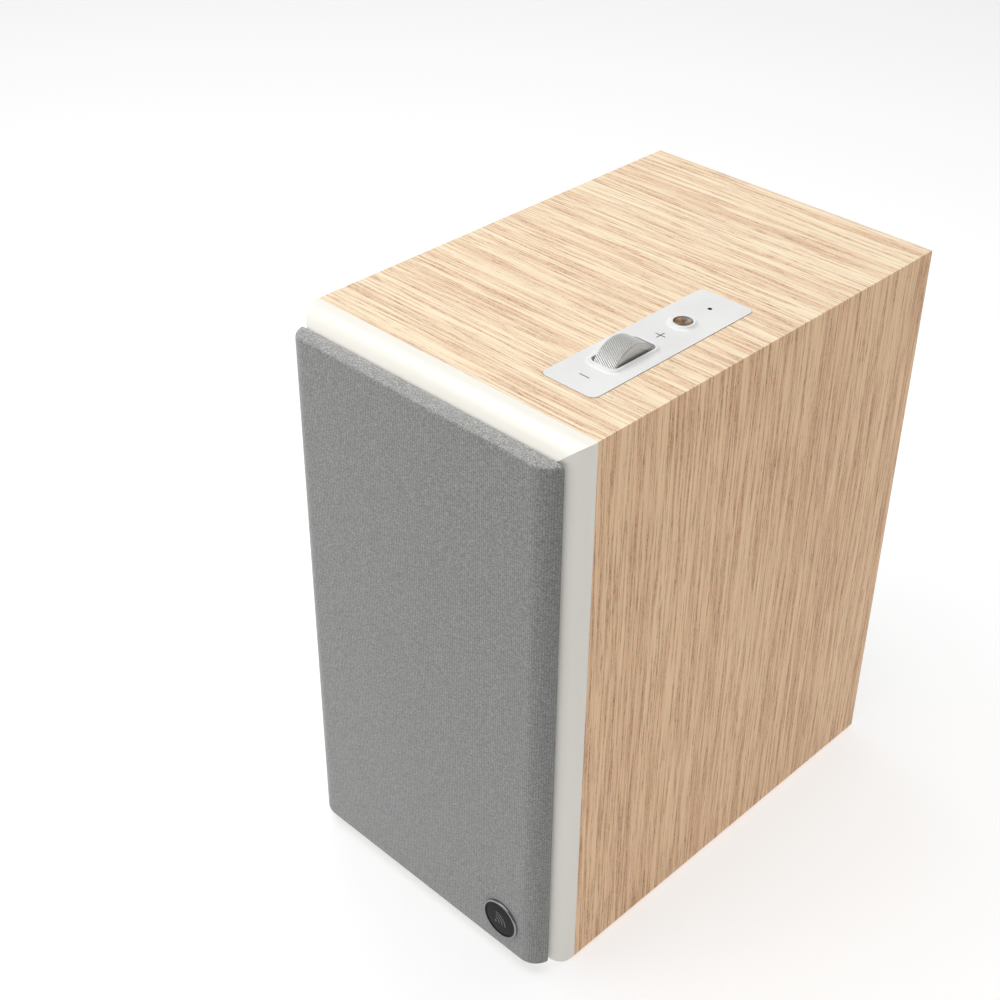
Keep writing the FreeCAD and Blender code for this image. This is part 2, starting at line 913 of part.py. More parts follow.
def woofer_screws():
    return [
        screw_y(x, z, baffle_face + gasket_thickness - screw_head_thickness)
        for x, z, a in around(6, woofer_bolt_circle, woofer_z, 30)
    ]


# ---------------------------------------------------------------- tweeter
def tweeter_waveguide():
    wall = tweeter_flange - 1.4
    body = turned(
        [
            (tweeter_flange_radius, 0.0),
            (tweeter_flange_radius, tweeter_flange),
            (dish_radius - 4, tweeter_flange),
            ("arc", (dish_radius - 13, tweeter_flange + 3.6), (throat_radius + wall + 2, throat_depth)),
            (tweeter_ring_radius, throat_depth),
            (tweeter_ring_radius, ring_back),
            (throat_radius, ring_back),
            (throat_radius, throat_depth),
            ("arc", (dish_radius - 15.5, 4.6), (dish_radius, 0.0)),
        ],
        tweeter_z,
    )
    holes = []
    head_end = baffle_face + screw_head_thickness + tweeter_screw_sunk
    for x, z, a in around(4, tweeter_bolt_circle, tweeter_z, 45):
        holes.append(rod_y(x, z, baffle_face - 1, head_end, screw_head_radius + hole_gap))
        holes.append(rod_y(x, z, baffle_face, baffle_face + tweeter_flange + 1, screw_radius + hole_gap))
    return body.cut(holes)


def tweeter_dome():
    """The silk dome, glued by its rim to the front of its coil."""
    rim = dome_radius
    inner_rim = rim - silk_thickness
    sphere = (rim**2 + dome_rise**2) / (2 * dome_rise)
    seat = baffle_face + ring_back
    centre = Vector(0, seat - dome_rise + sphere, tweeter_z)
    shell = Part.makeSphere(sphere, centre).cut(Part.makeSphere(sphere - silk_thickness, centre))
    keep = rod_y(0, tweeter_z, seat - dome_rise - 1, seat, rim)
    collar = ring_y(tweeter_z, seat - silk_thickness, seat, rim, inner_rim - 0.2)
    return fused([shell.common(keep), collar])


def tweeter_edge():
    """The soft half roll round the dome, and the ring that clamps it."""
    inner = dome_radius + 0.1
    outer = throat_radius - 0.4
    middle = (inner + outer) / 2
    front, back = ring_back, tweeter_plate_front
    return turned(
        [
            (inner, front),
            ("arc", (middle, front - 0.9), (outer, front)),
            (tweeter_ring_radius - 1, front),
            (tweeter_ring_radius - 1, back),
            (outer, back),
            ("arc", (middle, front - 0.3), (inner, front + 0.3)),
        ],
        tweeter_z,
    )


def tweeter_coil():
    return ring_y(
        tweeter_z,
        baffle_face + ring_back,
        baffle_face + tweeter_plate_back + 1.5,
        tweeter_coil_radius + tweeter_coil_wall,
        tweeter_coil_radius,
    )


def tweeter_motor():
    """The front plate, the ring magnet, and the back plate with its pole."""
    bore = tweeter_coil_radius + tweeter_coil_wall + tweeter_gap
    pole = tweeter_coil_radius - tweeter_gap
    front, back = baffle_face + tweeter_plate_front, baffle_face + tweeter_plate_back
    front_plate = ring_y(tweeter_z, front, back, tweeter_ring_radius - 1, bore)
    magnet = ring_y(
        tweeter_z,
        baffle_face + tweeter_plate_back,
        baffle_face + tweeter_magnet_back,
        tweeter_ring_radius + 1,
        throat_radius + 2,
    )
    yoke = turned(
        [
            (0.0, tweeter_plate_front + 0.5),
            (pole, tweeter_plate_front + 0.5),
            (pole, tweeter_magnet_back),
            (tweeter_ring_radius - 2, tweeter_magnet_back),
            (tweeter_ring_radius - 2, tweeter_magnet_back + tweeter_yoke_thickness),
            (0.0, tweeter_magnet_back + tweeter_yoke_thickness),
        ],
        tweeter_z,
    )
    return [front_plate, magnet, yoke]


def tweeter_screws():
    head = baffle_face + tweeter_screw_sunk
    return [screw_y(x, z, head) for x, z, a in around(4, tweeter_bolt_circle, tweeter_z, 45)]


# ---------------------------------------------------------------- reflex port
def port_tube():
    """A flared tube with a flange that seats on the rear panel. Depths run in from its mouth."""
    collar_end = plate_thickness + rear_thickness
    mouth = port_radius + port_flare
    bend = port_flare * (1 - math.sqrt(0.5))
    end_mouth = port_radius + port_end_flare
    end_bend = port_end_flare * (1 - math.sqrt(0.5))
    start = port_length - port_end_flare
    end_turn = -port_length + end_bend
    outside = port_radius + port_wall
    return turned(
        [
            (mouth, 0.0),
            (port_flange_radius, 0.0),
            (port_flange_radius, -plate_thickness),
            (port_collar_radius, -plate_thickness),
            (port_collar_radius, -collar_end),
            (outside, -collar_end),
            (outside, -start),
            ("arc", (outside + end_bend, end_turn), (end_mouth + port_wall, -port_length)),
            (end_mouth, -port_length),
            ("arc", (port_radius + end_bend, end_turn), (port_radius, -start)),
            (port_radius, -port_flare),
            ("arc", (port_radius + bend, -bend), (mouth, 0.0)),
        ],
        port_z,
        plate_outside,
    )


# ---------------------------------------------------------------- control strip
def raised_lip(half_x, half_y, corner, x, y):
    """A low rim round an opening: a sloping skirt outside, a soft top and a straight wall inside."""
    grow = lip_width + lip_skirt
    low = rounded_plate(
        2 * (half_x + grow), 2 * (half_y + grow), strip_bottom, strip_top + 0.01, corner + grow, x, y
    )
    levels = (
        (strip_top, grow),
        (strip_top + lip_height * 0.35, lip_width + lip_skirt * 0.35),
        (strip_top + lip_height, lip_width * 0.7),
    )
    wires = []
    for z, out in levels:
        plate = rounded_plate(2 * (half_x + out), 2 * (half_y + out), z, z + 1, corner + out, x, y)
        base = min(plate.Faces, key=lambda f: f.CenterOfMass.z)
        wires.append(base.OuterWire)
    skirt = Part.makeLoft(wires[:2], True, True).fuse(Part.makeLoft(wires[1:], True, True))
    return low.fuse(skirt)


def control_plate():
    plate = rounded_plate(strip_width, strip_length, strip_bottom, strip_top, strip_corner, strip_x, strip_y)
    button_hole = button_radius + button_gap
    parts = [
        plate,
        raised_lip(slot_half_width, slot_half_length, slot_corner, strip_x, wheel_y),
        raised_lip(button_hole, button_hole, button_hole - 0.01, strip_x, button_y),
        rod_z(strip_x, button_y, strip_bottom - button_collar_length, strip_bottom + 0.5, button_hole + 1.4),
    ]
    whole = fused(parts)
    over = strip_top + 5
    slot_width, slot_length = 2 * slot_half_width, 2 * slot_half_length
    slot = rounded_plate(slot_width, slot_length, strip_bottom - 1, over, slot_corner, strip_x, wheel_y)
    button = rod_z(strip_x, button_y, strip_bottom - button_collar_length - 1, over, button_hole)
    light = rod_z(strip_x, light_y, strip_bottom - 1, strip_top + 1, light_radius + thread_gap)
    return whole.cut([slot, button, light])


def control_housing():
    """The tub under the strip, with the wheel's bearing bracket moulded in."""
    half, run = tub_half_width, tub_half_length
    room, inner_run = half - tub_wall, run - tub_wall
    base = tub_bottom - tub_wall
    outer = box(strip_x - half, strip_x + half, strip_y - run, strip_y + run, base, strip_bottom)
    inner = box(
        strip_x - room, strip_x + room, strip_y - inner_run, strip_y + inner_run, tub_bottom, strip_bottom + 1
    )
    side = strip_x + tub_inner_half
    start = strip_x + wheel_width / 2 + bracket_gap
    low, high = board_top + board_gap, wheel_z + bearing_rise
    front, back = wheel_y - bracket_width / 2, wheel_y + bracket_width / 2
    bracket = box(start, side + 0.5, front, back, low, high)
    bearing = rod_x(strip_x, side - 0.3, wheel_y, wheel_z, axle_radius + running_gap)
    hole_y = strip_y + run - lead_hole_inset
    cable_hole = rod_z(strip_x, hole_y, base - 1, tub_bottom + 1, wire_radius + lead_hole_gap)
    return fused([outer.cut(inner), bracket]).cut([bearing, cable_hole])


def control_board():
    half, run = tub_inner_half - 0.4, tub_half_length - tub_wall - 0.4
    return box(strip_x - half, strip_x + half, strip_y - run, strip_y + run, tub_bottom, board_top)


def volume_wheel():
    """A drum with a knurled rim and plain sides."""
    half = wheel_width / 2
    drum = rod_x(strip_x - half, strip_x + half, wheel_y, wheel_z, wheel_radius - knurl_depth)
    ridges = []
    pitch = 2 * math.pi * wheel_radius / knurl_count
    reach = half - knurl_end
    root = wheel_radius - knurl_depth - knurl_root
    for k in range(knurl_count):
        ridge = box(strip_x - reach, strip_x + reach, -pitch / 4, pitch / 4, root, wheel_radius)
        ridge.rotate(Vector(0, 0, 0), Vector(1, 0, 0), 360.0 * k / knurl_count)
        ridge.translate(Vector(0, wheel_y, wheel_z))
        ridges.append(ridge)
    whole = drum.fuse(ridges)
    bore = rod_x(strip_x - wheel_width, strip_x + wheel_width, wheel_y, wheel_z, axle_radius)
    return whole.cut(bore)


def volume_axle():
    return rod_x(
        strip_x - tub_inner_half + 0.5, strip_x + tub_inner_half - 0.6, wheel_y, wheel_z, axle_radius
    )


def encoder_body():
    """The rotary encoder, upright on the board beside the wheel."""
    left = strip_x - tub_inner_half + board_gap
    right = strip_x - wheel_width / 2 - bracket_gap
    front, back = wheel_y - bracket_width / 2, wheel_y + bracket_width / 2
    body = box(left, right, front, back, board_top, wheel_z + bearing_rise)
    return body.cut(rod_x(left + 0.3, strip_x, wheel_y, wheel_z, axle_radius + running_gap))


def button_cap():
    """The push button: a dished cap, a flange that keeps it in the collar, and a stem."""
    top = strip_top + lip_height - 0.5
    cap = rod_z(strip_x, button_y, flange_top - button_flange_thickness, top, button_radius)
    flange = rod_z(strip_x, button_y, flange_top - button_flange_thickness, flange_top, button_flange_radius)
    stem = rod_z(strip_x, button_y, switch_top + 1.2, flange_top, button_stem_radius)
    tip = rod_z(strip_x, button_y, switch_top - 1.0, flange_top, button_tip_radius)
    sphere = (button_radius**2 + button_dish**2) / (2 * button_dish)
    dish = Part.makeSphere(sphere, Vector(strip_x, button_y, top + sphere - button_dish))
    return fused([cap, flange, stem, tip]).cut(dish)


def button_spring():
    """The return spring between the switch and the button's flange."""
    low = switch_top + spring_wire
    high = flange_top - button_flange_thickness - spring_wire
    radius = button_stem_radius + 3 * spring_wire
    pitch = (high - low) / spring_turns
    helix = Part.makeLongHelix(pitch, high - low, radius)
    profile = Part.Wire(Part.makeCircle(spring_wire / 2, Vector(radius, 0, 0), Vector(0, 1, 0)))
    coil = Part.Wire(helix.Edges).makePipeShell([profile], True, True)
    coil.translate(Vector(strip_x, button_y, low))
    return coil


def button_switch():
    half = switch_size / 2
    body = box(strip_x - half, strip_x + half, button_y - half, button_y + half, board_top, switch_top)
    well = rod_z(strip_x, button_y, switch_top - button_travel - 2.0, switch_top + 1, button_tip_radius + 0.2)
    return body.cut(well)


def status_light():
    """A light pipe from the board to the strip's face."""
    pipe = rod_z(strip_x, light_y, board_top + 1.5, strip_top, light_radius)
    foot = rod_z(strip_x, light_y, board_top, board_top + 1.6, light_radius * 2)
    return fused([pipe, foot])


# ---------------------------------------------------------------- amplifier plate and its sockets
def jack_places():
    row = plate_z + phono_row
    return [(phono_x, row), (phono_x + phono_spacing, row), (sub_out_x, row)]


def post_places():
    row = plate_z + post_row
    return [(-post_spacing / 2, row), (post_spacing / 2, row)]


def standoff_places():
    x = plate_width / 2 - plate_lip - standoff_radius - 2
    z = plate_length / 2 - plate_lip - standoff_radius - 2
    return [(sx * x, plate_z + sz * z) for sx in (-1, 1) for sz in (-1, 1)]


def amp_plate():
    """The plate that carries the amplifier, with its four standoffs and all its cut-outs."""
    plate = block(0, rear_face, plate_z, plate_width, plate_thickness, plate_length)
    corners = [e for e in plate.Edges if abs(e.tangentAt(e.FirstParameter).y) > 0.99]
    plate = plate.makeFillet(plate_corner, corners)
    posts = [rod_y(x, z, board_back, rear_face + 0.5, standoff_radius) for x, z in standoff_places()]
    whole = fused([plate] + posts)
    start, end = rear_face - 1, plate_outside + 1
    cuts = [rod_y(x, z, start, end, rca_radius + socket_gap) for x, z in jack_places()]
    neck = post_stud_radius + post_neck_wall + socket_gap
    cuts += [rod_y(x, z, start, end, neck) for x, z in post_places()]
    cuts.append(rod_y(ground_x, plate_z + phono_row, start, end, ground_stud_radius + socket_gap))

    def opening(x, row, width, height):
        return block(x, start, plate_z + row, width + 2 * socket_gap, end - start, height + 2 * socket_gap)

    cuts.append(opening(optical_x, digital_row, optical_size, optical_size))
    cuts.append(opening(hdmi_x, digital_row, hdmi_width, hdmi_height))
    cuts.append(opening(usb_x, digital_row, usb_width, usb_height))
    cuts.append(opening(inlet_x, mains_row, inlet_width, inlet_height))
    cuts.append(opening(rocker_x, mains_row, frame_width - 2, frame_height - 2))
    cuts.append(opening(slide_switch_x, phono_row, slide_slot_width, slide_slot_height))
    cuts += [rod_y(x, z, start, end, screw_radius + hole_gap) for x, z in plate_screw_places()]
    return whole.cut(cuts)


def amp_plate_screws():
    return [
        screw_y(x, z, plate_outside + screw_head_thickness, length=screw_length, into=-1)
        for x, z in plate_screw_places()
    ]


def amp_board():
    width = plate_width - 2 * plate_lip - 4
    length = plate_length - 2 * plate_lip - 4
    return block(0, board_inside, plate_z, width, board_thickness, length)


def power_transformer():
    """A toroid standing on the board, held by a centre bolt's washer."""
    z = plate_z + ring_core_row
    middle = Vector(ring_core_x, board_inside - ring_core_height / 2 - 1.25, z)
    ring = Part.makeTorus(ring_core_radius, ring_core_thickness, middle, Vector(0, 1, 0))
    core = rod_y(ring_core_x, z, board_inside - ring_core_height, board_inside, ring_core_radius - 7.0)
    room = block(ring_core_x, board_inside - ring_core_height - 0.5, z, 60, ring_core_height + 0.5, 60)
    return fused([ring.common(room), core])


def smoothing_capacitors():
    cans = []
    top = board_inside - capacitor_height
    for row in capacitor_rows:
        can = rod_y(capacitor_x, plate_z + row, top, board_inside, capacitor_radius)
        rim = [e for e in can.Edges if abs(e.CenterOfMass.y - top) < 1e-6]
        cans.append(can.makeFillet(1.2, rim))
    return cans


def heat_sink():
    """A finned block on the board, over the amplifier chips."""
    z = plate_z + sink_row
    body = block(0, board_inside - sink_base, z, sink_width, sink_base, sink_height)
    step = (sink_width - fin_thickness) / (fin_count - 1)
    reach = sink_reach - sink_base + 0.1
    fins = []
    for k in range(fin_count):
        x = step * k - (sink_width - fin_thickness) / 2
        fins.append(block(x, board_inside - sink_reach, z, fin_thickness, reach, sink_height))
    return fused([body] + fins)


def power_inlet():
    """A two-pin mains inlet: a shell with a figure-of-eight mouth and its two pins."""
    z = plate_z + mains_row
    shell = block(inlet_x, plate_outside - inlet_depth, z, inlet_width, inlet_depth, inlet_height)
    flange = block(inlet_x, plate_outside, z, inlet_width + 4, inlet_flange, inlet_height + 4)
    floor = plate_outside - inlet_mouth_depth
    mouth = block(inlet_x, floor, z, 2 * inlet_lobe_offset, inlet_mouth_depth + 2, 2 * inlet_lobe_radius)
    lobes = [
        rod_y(inlet_x + s * inlet_lobe_offset, z, floor, plate_outside + 2, inlet_lobe_radius)
        for s in (-1, 1)
    ]
    body = fused([shell, flange]).cut([mouth] + lobes)
    pins = [
        rod_y(inlet_x + s * inlet_pin_offset, z, floor - 0.5, plate_outside - 2, inlet_pin_radius)
        for s in (-1, 1)
    ]
    return fused([body] + pins)


def power_switch_frame():
    z = plate_z + mains_row
    flange = block(rocker_x, plate_outside, z, frame_width + 2, frame_flange, frame_height + 2)
    start = plate_outside - frame_depth
    body = block(rocker_x, start, z, frame_width - 2, frame_depth + 0.5, frame_height - 2)
    well_width = frame_width - 2 - 2 * frame_wall
    cavity = block(rocker_x, start + 2, z, well_width, frame_depth + 5, rocker_well_height)
    reach = frame_width / 2 - frame_wall
    pivot = rod_x(rocker_x - reach, rocker_x + reach, rocker_pivot_y, z, rocker_pin_radius + running_gap)
    return fused([flange, body]).cut([cavity, pivot])


def power_rocker():
    """The rocker at its switched-off tilt, on a pin that turns in the frame."""
    z = plate_z + mains_row
    half = rocker_well_height / 2 - 0.9
    side = frame_width - 2 - 2 * frame_wall - 0.6
    outline = [
        (-half, 5.6),
        (0.0, 4.3),
        (half, 5.6),
        (half - 0.6, -0.5),
        (3.0, -3.4),
        (-3.0, -3.4),
        (-half + 0.6, -0.5),
    ]
    points = [Vector(rocker_x - side / 2, rocker_pivot_y + dy, z + dz) for dz, dy in outline + outline[:1]]
    paddle = Part.Face(Part.makePolygon(points)).extrude(Vector(side, 0, 0))
    reach = frame_width / 2 - frame_wall - 0.3
    pin = rod_x(rocker_x - reach, rocker_x + reach, rocker_pivot_y, z, rocker_pin_radius)
    rocker = fused([paddle, pin])
    rocker.rotate(Vector(rocker_x, rocker_pivot_y, z), Vector(1, 0, 0), rocker_angle / 2)
    return rocker


def rca_shells():
    """The plated outer sleeves of the phono sockets and of the subwoofer output."""
    shells = []
    end = plate_outside + rca_length
    for x, z in jack_places():
        sleeve = rod_y(x, z, rear_face - socket_tail, end, rca_radius)
        collar = rod_y(x, z, plate_outside, plate_outside + rca_collar_thickness, rca_radius + rca_collar_rim)
        bore = rod_y(x, z, rear_face - socket_tail - 1, end + 1, rca_radius - rca_wall)
        shells.append(fused([sleeve, collar]).cut(bore))
    return shells


def rca_inserts():
    """The insulators inside the sleeves, with the hole for the plug's centre pin."""
    inserts = []
    end = plate_outside + rca_length
    for x, z in jack_places():
        plug = rod_y(x, z, board_back, end - rca_insert_sunk, rca_radius - rca_wall - fit_gap)
        inserts.append(plug.cut(rod_y(x, z, rear_face, end, rca_pin_hole)))
    return inserts


def hdmi_socket():
    z = plate_z + digital_row
    shell = block(hdmi_x, board_back, z, hdmi_width, plate_outside + 1.0 - board_back, hdmi_height)
    mouth = block(hdmi_x, plate_outside - 9, z, hdmi_width - 1.0, 12, hdmi_height - 1.0)
    tongue = block(hdmi_x, plate_outside - 9.5, z + 0.4, hdmi_width - 4.5, 8.5, 1.4)
    return fused([shell.cut(mouth), tongue])


def usb_socket():
    z = plate_z + digital_row
    shell = block(usb_x, board_back, z, usb_width, plate_outside + 0.6 - board_back, usb_height)
    uprights = [e for e in shell.Edges if abs(e.tangentAt(e.FirstParameter).y) > 0.99]
    shell = shell.makeFillet(usb_height * 0.45, uprights)
    mouth = block(usb_x, plate_outside - 6, z, usb_width - 1.0, 8, usb_height - 1.0)
    rims = [e for e in mouth.Edges if abs(e.tangentAt(e.FirstParameter).y) > 0.99]
    tongue = block(usb_x, plate_outside - 6.5, z, usb_width - 2.8, 6.0, 0.7)
    return fused([shell.cut(mouth.makeFillet((usb_height - 1.0) * 0.45, rims)), tongue])


def optical_socket():
    z = plate_z + digital_row
    shell = block(optical_x, board_back, z, optical_size, plate_outside + 1.0 - board_back, optical_size)
    mouth = block(optical_x, plate_outside - 8, z, optical_size - 3.0, 10, optical_size - 3.0)
    lens = rod_y(optical_x, z, plate_outside - 8.5, plate_outside - 7.0, 1.5)
    return fused([shell.cut(mouth), lens])


def slide_switch_body():
    z = plate_z + phono_row
    front = rear_face - slide_body_depth
    width, height = slide_body_width - 2.4, slide_body_height - 2.4
    body = block(slide_switch_x, front, z, slide_body_width, slide_body_depth, slide_body_height)
    cavity = block(slide_switch_x, front + 1.2, z, width, slide_body_depth, height)
    return body.cut(cavity)


def line_phono_slider():
    """The slider at its left stop: a foot inside the switch and a ribbed key outside."""
    z = plate_z + phono_row
    x = slide_switch_x - slider_travel / 2
    foot_start = rear_face - slide_body_depth + 1.4
    foot = block(x, foot_start, z, 8.0, slide_body_depth - 1.6, slide_body_height - 3.0)
    key_width = slide_slot_width - slider_travel - 0.4
    key = block(x, rear_face - 1, z, key_width, plate_thickness + 3.0, slide_slot_height - 0.6)
    grooves = [block(x + dx, plate_outside + 1.5, z, 0.5, 1.0, 10) for dx in (-1.4, 0.0, 1.4)]
    return fused([foot, key]).cut(grooves)


def ground_stud():
    z = plate_z + phono_row
    stud = rod_y(ground_x, z, rear_face - 5, plate_outside + ground_stud_length, ground_stud_radius)
    inner_nut = rod_y(ground_x, z, rear_face - 3, rear_face, ground_stud_radius + 1.8)
    end = plate_outside + ground_collar_thickness
    collar = rod_y(ground_x, z, plate_outside, end, ground_stud_radius + ground_collar_rim)
    return fused([stud, inner_nut, collar])


def fluted(x, z, y0, y1, radius, bore, flutes, groove):
    """A hand nut: a drum with grooves round it and a plain bore."""
    drum = rod_y(x, z, y0, y1, radius)
    rims = [e for e in drum.Edges if e.Length > 3 * radius]
    drum = drum.makeFillet(0.5, rims)
    circle = around(flutes, radius + groove * 0.35, z)
    grooves = [rod_y(x + gx, gz, y0 - 1, y1 + 1, groove) for gx, gz, a in circle]
    return drum.cut(grooves + [rod_y(x, z, y0 - 1, y1 + 1, bore)])


def ground_nut():
    start = plate_outside + ground_collar_thickness + nut_clearance
    end = start + nut_length
    bore = ground_stud_radius + running_gap
    return fluted(ground_x, plate_z + phono_row, start, end, nut_radius, bore, nut_flutes, nut_flute_radius)


def binding_post_studs():
    """Each post's metal stud, bored for a banana plug, with its insulating base on the plate."""
    studs = []
    end = plate_outside + post_stud_length
    for x, z in post_places():
        stud = rod_y(x, z, rear_face - socket_tail, end, post_stud_radius)
        base_end = plate_outside + post_base_thickness - nut_clearance
        base = rod_y(x, z, plate_outside, base_end, post_base_radius)
        neck = rod_y(x, z, rear_face - 1, plate_outside + 0.5, post_stud_radius + post_neck_wall)
        bore = rod_y(x, z, end - post_bore_depth, end + 1, post_bore_radius)
        studs.append(fused([stud, base, neck]).cut(bore))
    return studs


def binding_knob(index):
    x, z = post_places()[index]
    start = plate_outside + post_base_thickness
    end = start + post_knob_length
    bore = post_stud_radius + running_gap
    return fluted(x, z, start, end, post_knob_radius, bore, knob_flutes, flute_radius)


# ---------------------------------------------------------------- wiring
def bent_tube(name, points, radius):
    """A cable: straight runs joined by tangent arcs, as large as the two runs beside them allow."""
    points = [Vector(*p) for p in points]
    edges, at, bends = [], points[0], []
    for before, here, after in zip(points, points[1:], points[2:]):
        into, out = (here - before), (after - here)
        room = 0.45 * min(into.Length, out.Length)
        into.normalize()
        out.normalize()
        start, end = here - into * room, here + out * room
        middle_way = (out - into).normalize()
        half_turn = into.getAngle(out) / 2
        bend = room / math.tan(half_turn)
        bends.append(bend)
        sagitta = bend / math.cos(half_turn) - bend
        edges.append(Part.LineSegment(at, start).toShape())
        edges.append(Part.Arc(start, here + middle_way * sagitta, end).toShape())
        at = end
    edges.append(Part.LineSegment(at, points[-1]).toShape())
    path = Part.Wire(edges)
    direction = points[1] - points[0]
    profile = Part.Wire(Part.makeCircle(radius, points[0], direction))
    tube = path.makePipeShell([profile], True, True)
    share = tube.Volume / (math.pi * radius**2 * path.Length)
    radii = ", ".join(f"{bend:.1f}" for bend in bends)
    print(f"{name}: {path.Length:.0f} mm long, radii {radii} mm, volume over section x length {share:.4f}")
    return tube


def driver_cables():
    """The leads from the board to the woofer's lugs and to the tweeter."""
    lug_y = baffle_face + seat_back + 10.3
    lug_z = woofer_z + basket_seat_radius + 3.4
    start_y = board_inside
    woofer_lead = bent_tube(
        "woofer lead",
        [
            (36, start_y, plate_z - 2),
            (36, start_y - 16, plate_z - 2),
            (30, start_y - 40, plate_z + 8),
            (18, start_y - 66, plate_z + 22),
            (6, start_y - 92, lug_z + 4),
            (0, lug_y + 26, lug_z + 5),
            (0, lug_y, lug_z),
        ],
        wire_radius,
    )
    tweeter_end = baffle_face + tweeter_magnet_back + tweeter_yoke_thickness
    tweeter_lead = bent_tube(
        "tweeter lead",
        [
            (-36, start_y, plate_z + 60),
            (-36, start_y - 16, plate_z + 60),
            (-34, start_y - 40, plate_z + 70),
            (-30, start_y - 76, plate_z + 84),
            (-22, start_y - 108, tweeter_z + 2),
            (-10, tweeter_end + 30, tweeter_z),
            (-8, tweeter_end + 0.6, tweeter_z),
        ],
        wire_radius,
    )
    return [woofer_lead, tweeter_lead]


def control_cable():
    """The lead from the board up to the control strip's tub."""
    top = tub_bottom
    y = strip_y + tub_half_length - lead_hole_inset
    return bent_tube(
        "control lead",
        [
            (46, board_inside, plate_z + 58),
            (47, board_inside - 14, plate_z + 59),
            (52, board_inside - 34, plate_z + 78),
            (54, y + 18, plate_z + 106),
            (strip_x + 2, y + 3, plate_z + 132),
            (strip_x, y, top - 16),
            (strip_x, y, top - 0.3),
        ],
        wire_radius,
    )


# ---------------------------------------------------------------- every piece, by its name
pieces = {
    "cabinet_top": cabinet_top,
    "cabinet_bottom": cabinet_bottom,
    "cabinet_left": lambda: cabinet_side(-1),
    "cabinet_right": lambda: cabinet_side(1),
    "rear_panel": rear_panel,
    "cabinet_brace": cabinet_brace,
    "damping_pads": damping_pads,
    "rubber_feet": rubber_feet,
    "front_baffle": front_baffle,
    "baffle_magnets": baffle_magnets,
    "grille_frame": grille_frame,
    "grille_cloth": grille_cloth,
    "grille_magnets": grille_magnets,
    "badge_rim": badge_rim,
    "badge_disc": badge_disc,
    "woofer_gasket": woofer_gasket,
    "woofer_basket": woofer_basket,
    "woofer_terminals": woofer_terminals,
    "woofer_magnet": woofer_magnet,
    "woofer_pole_pieces": woofer_pole_pieces,
    "woofer_surround": woofer_surround,
    "woofer_cone": woofer_cone,
    "woofer_dust_cap": woofer_dust_cap,
    "woofer_voice_coil": woofer_voice_coil,
    "woofer_spider": woofer_spider,
    "tweeter_waveguide": tweeter_waveguide,
    "tweeter_dome": tweeter_dome,
    "tweeter_coil": tweeter_coil,
    "tweeter_edge": tweeter_edge,
    "tweeter_motor": tweeter_motor,
    "fixing_screws": lambda: woofer_screws() + tweeter_screws() + amp_plate_screws(),
    "port_tube": port_tube,
    "control_plate": control_plate,
    "control_housing": control_housing,
    "volume_wheel": volume_wheel,
    "volume_axle": volume_axle,
    "control_switches": lambda: [encoder_body(), button_switch()],
    "button_cap": button_cap,
    "button_spring": button_spring,
    "status_light": status_light,
    "amp_plate": amp_plate,
    "circuit_boards": lambda: [amp_board(), control_board()],
    "power_transformer": power_transformer,
    "smoothing_capacitors": smoothing_capacitors,
    "heat_sink": heat_sink,
    "power_inlet": power_inlet,
    "power_switch_frame": power_switch_frame,
    "power_rocker": power_rocker,
    "rca_shells": rca_shells,
    "rca_inserts": rca_inserts,
    "digital_sockets": lambda: [hdmi_socket(), usb_socket()],
    "optical_socket": optical_socket,
    "slide_switch_body": slide_switch_body,
    "line_phono_slider": line_phono_slider,
    "terminal_studs": lambda: binding_post_studs() + [ground_stud()],
    "ground_nut": ground_nut,
    "binding_knob_red": lambda: binding_knob(0),
    "binding_knob_black": lambda: binding_knob(1),
    "driver_cables": driver_cables,
    "control_cable": control_cable,
}


def main():
    os.makedirs("parts", exist_ok=True)
    for name, make in pieces.items():
        made = make()
        solids = made if isinstance(made, list) else [made]
        solids = [solid for shape in solids for solid in shape.Solids]
        whole = Part.makeCompound(solids) if len(solids) > 1 else solids[0]
        bad = [s for s in solids if not s.isValid() or s.Volume <= 0]
        volume = sum(s.Volume for s in solids)
        print(f"{name}: {len(solids)} solid(s), {volume:.1f} mm3" + (" INVALID" if bad else ""))
        whole.exportStep(f"parts/{name}.step")
    print(len(pieces), "nodes")


main()
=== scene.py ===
# %% [markdown]
# # A powered bookshelf speaker
# The speaker is a veneered wooden box with a white front, a grey cloth grille and a strip of
# controls in its top. Its shapes that matter for fit come from CAD, and this lesson gives them
# their looks. It starts by loading that frame.

# %% Load the frame
import json
import math

import bmesh
import bpy
from mathutils import Matrix, Vector


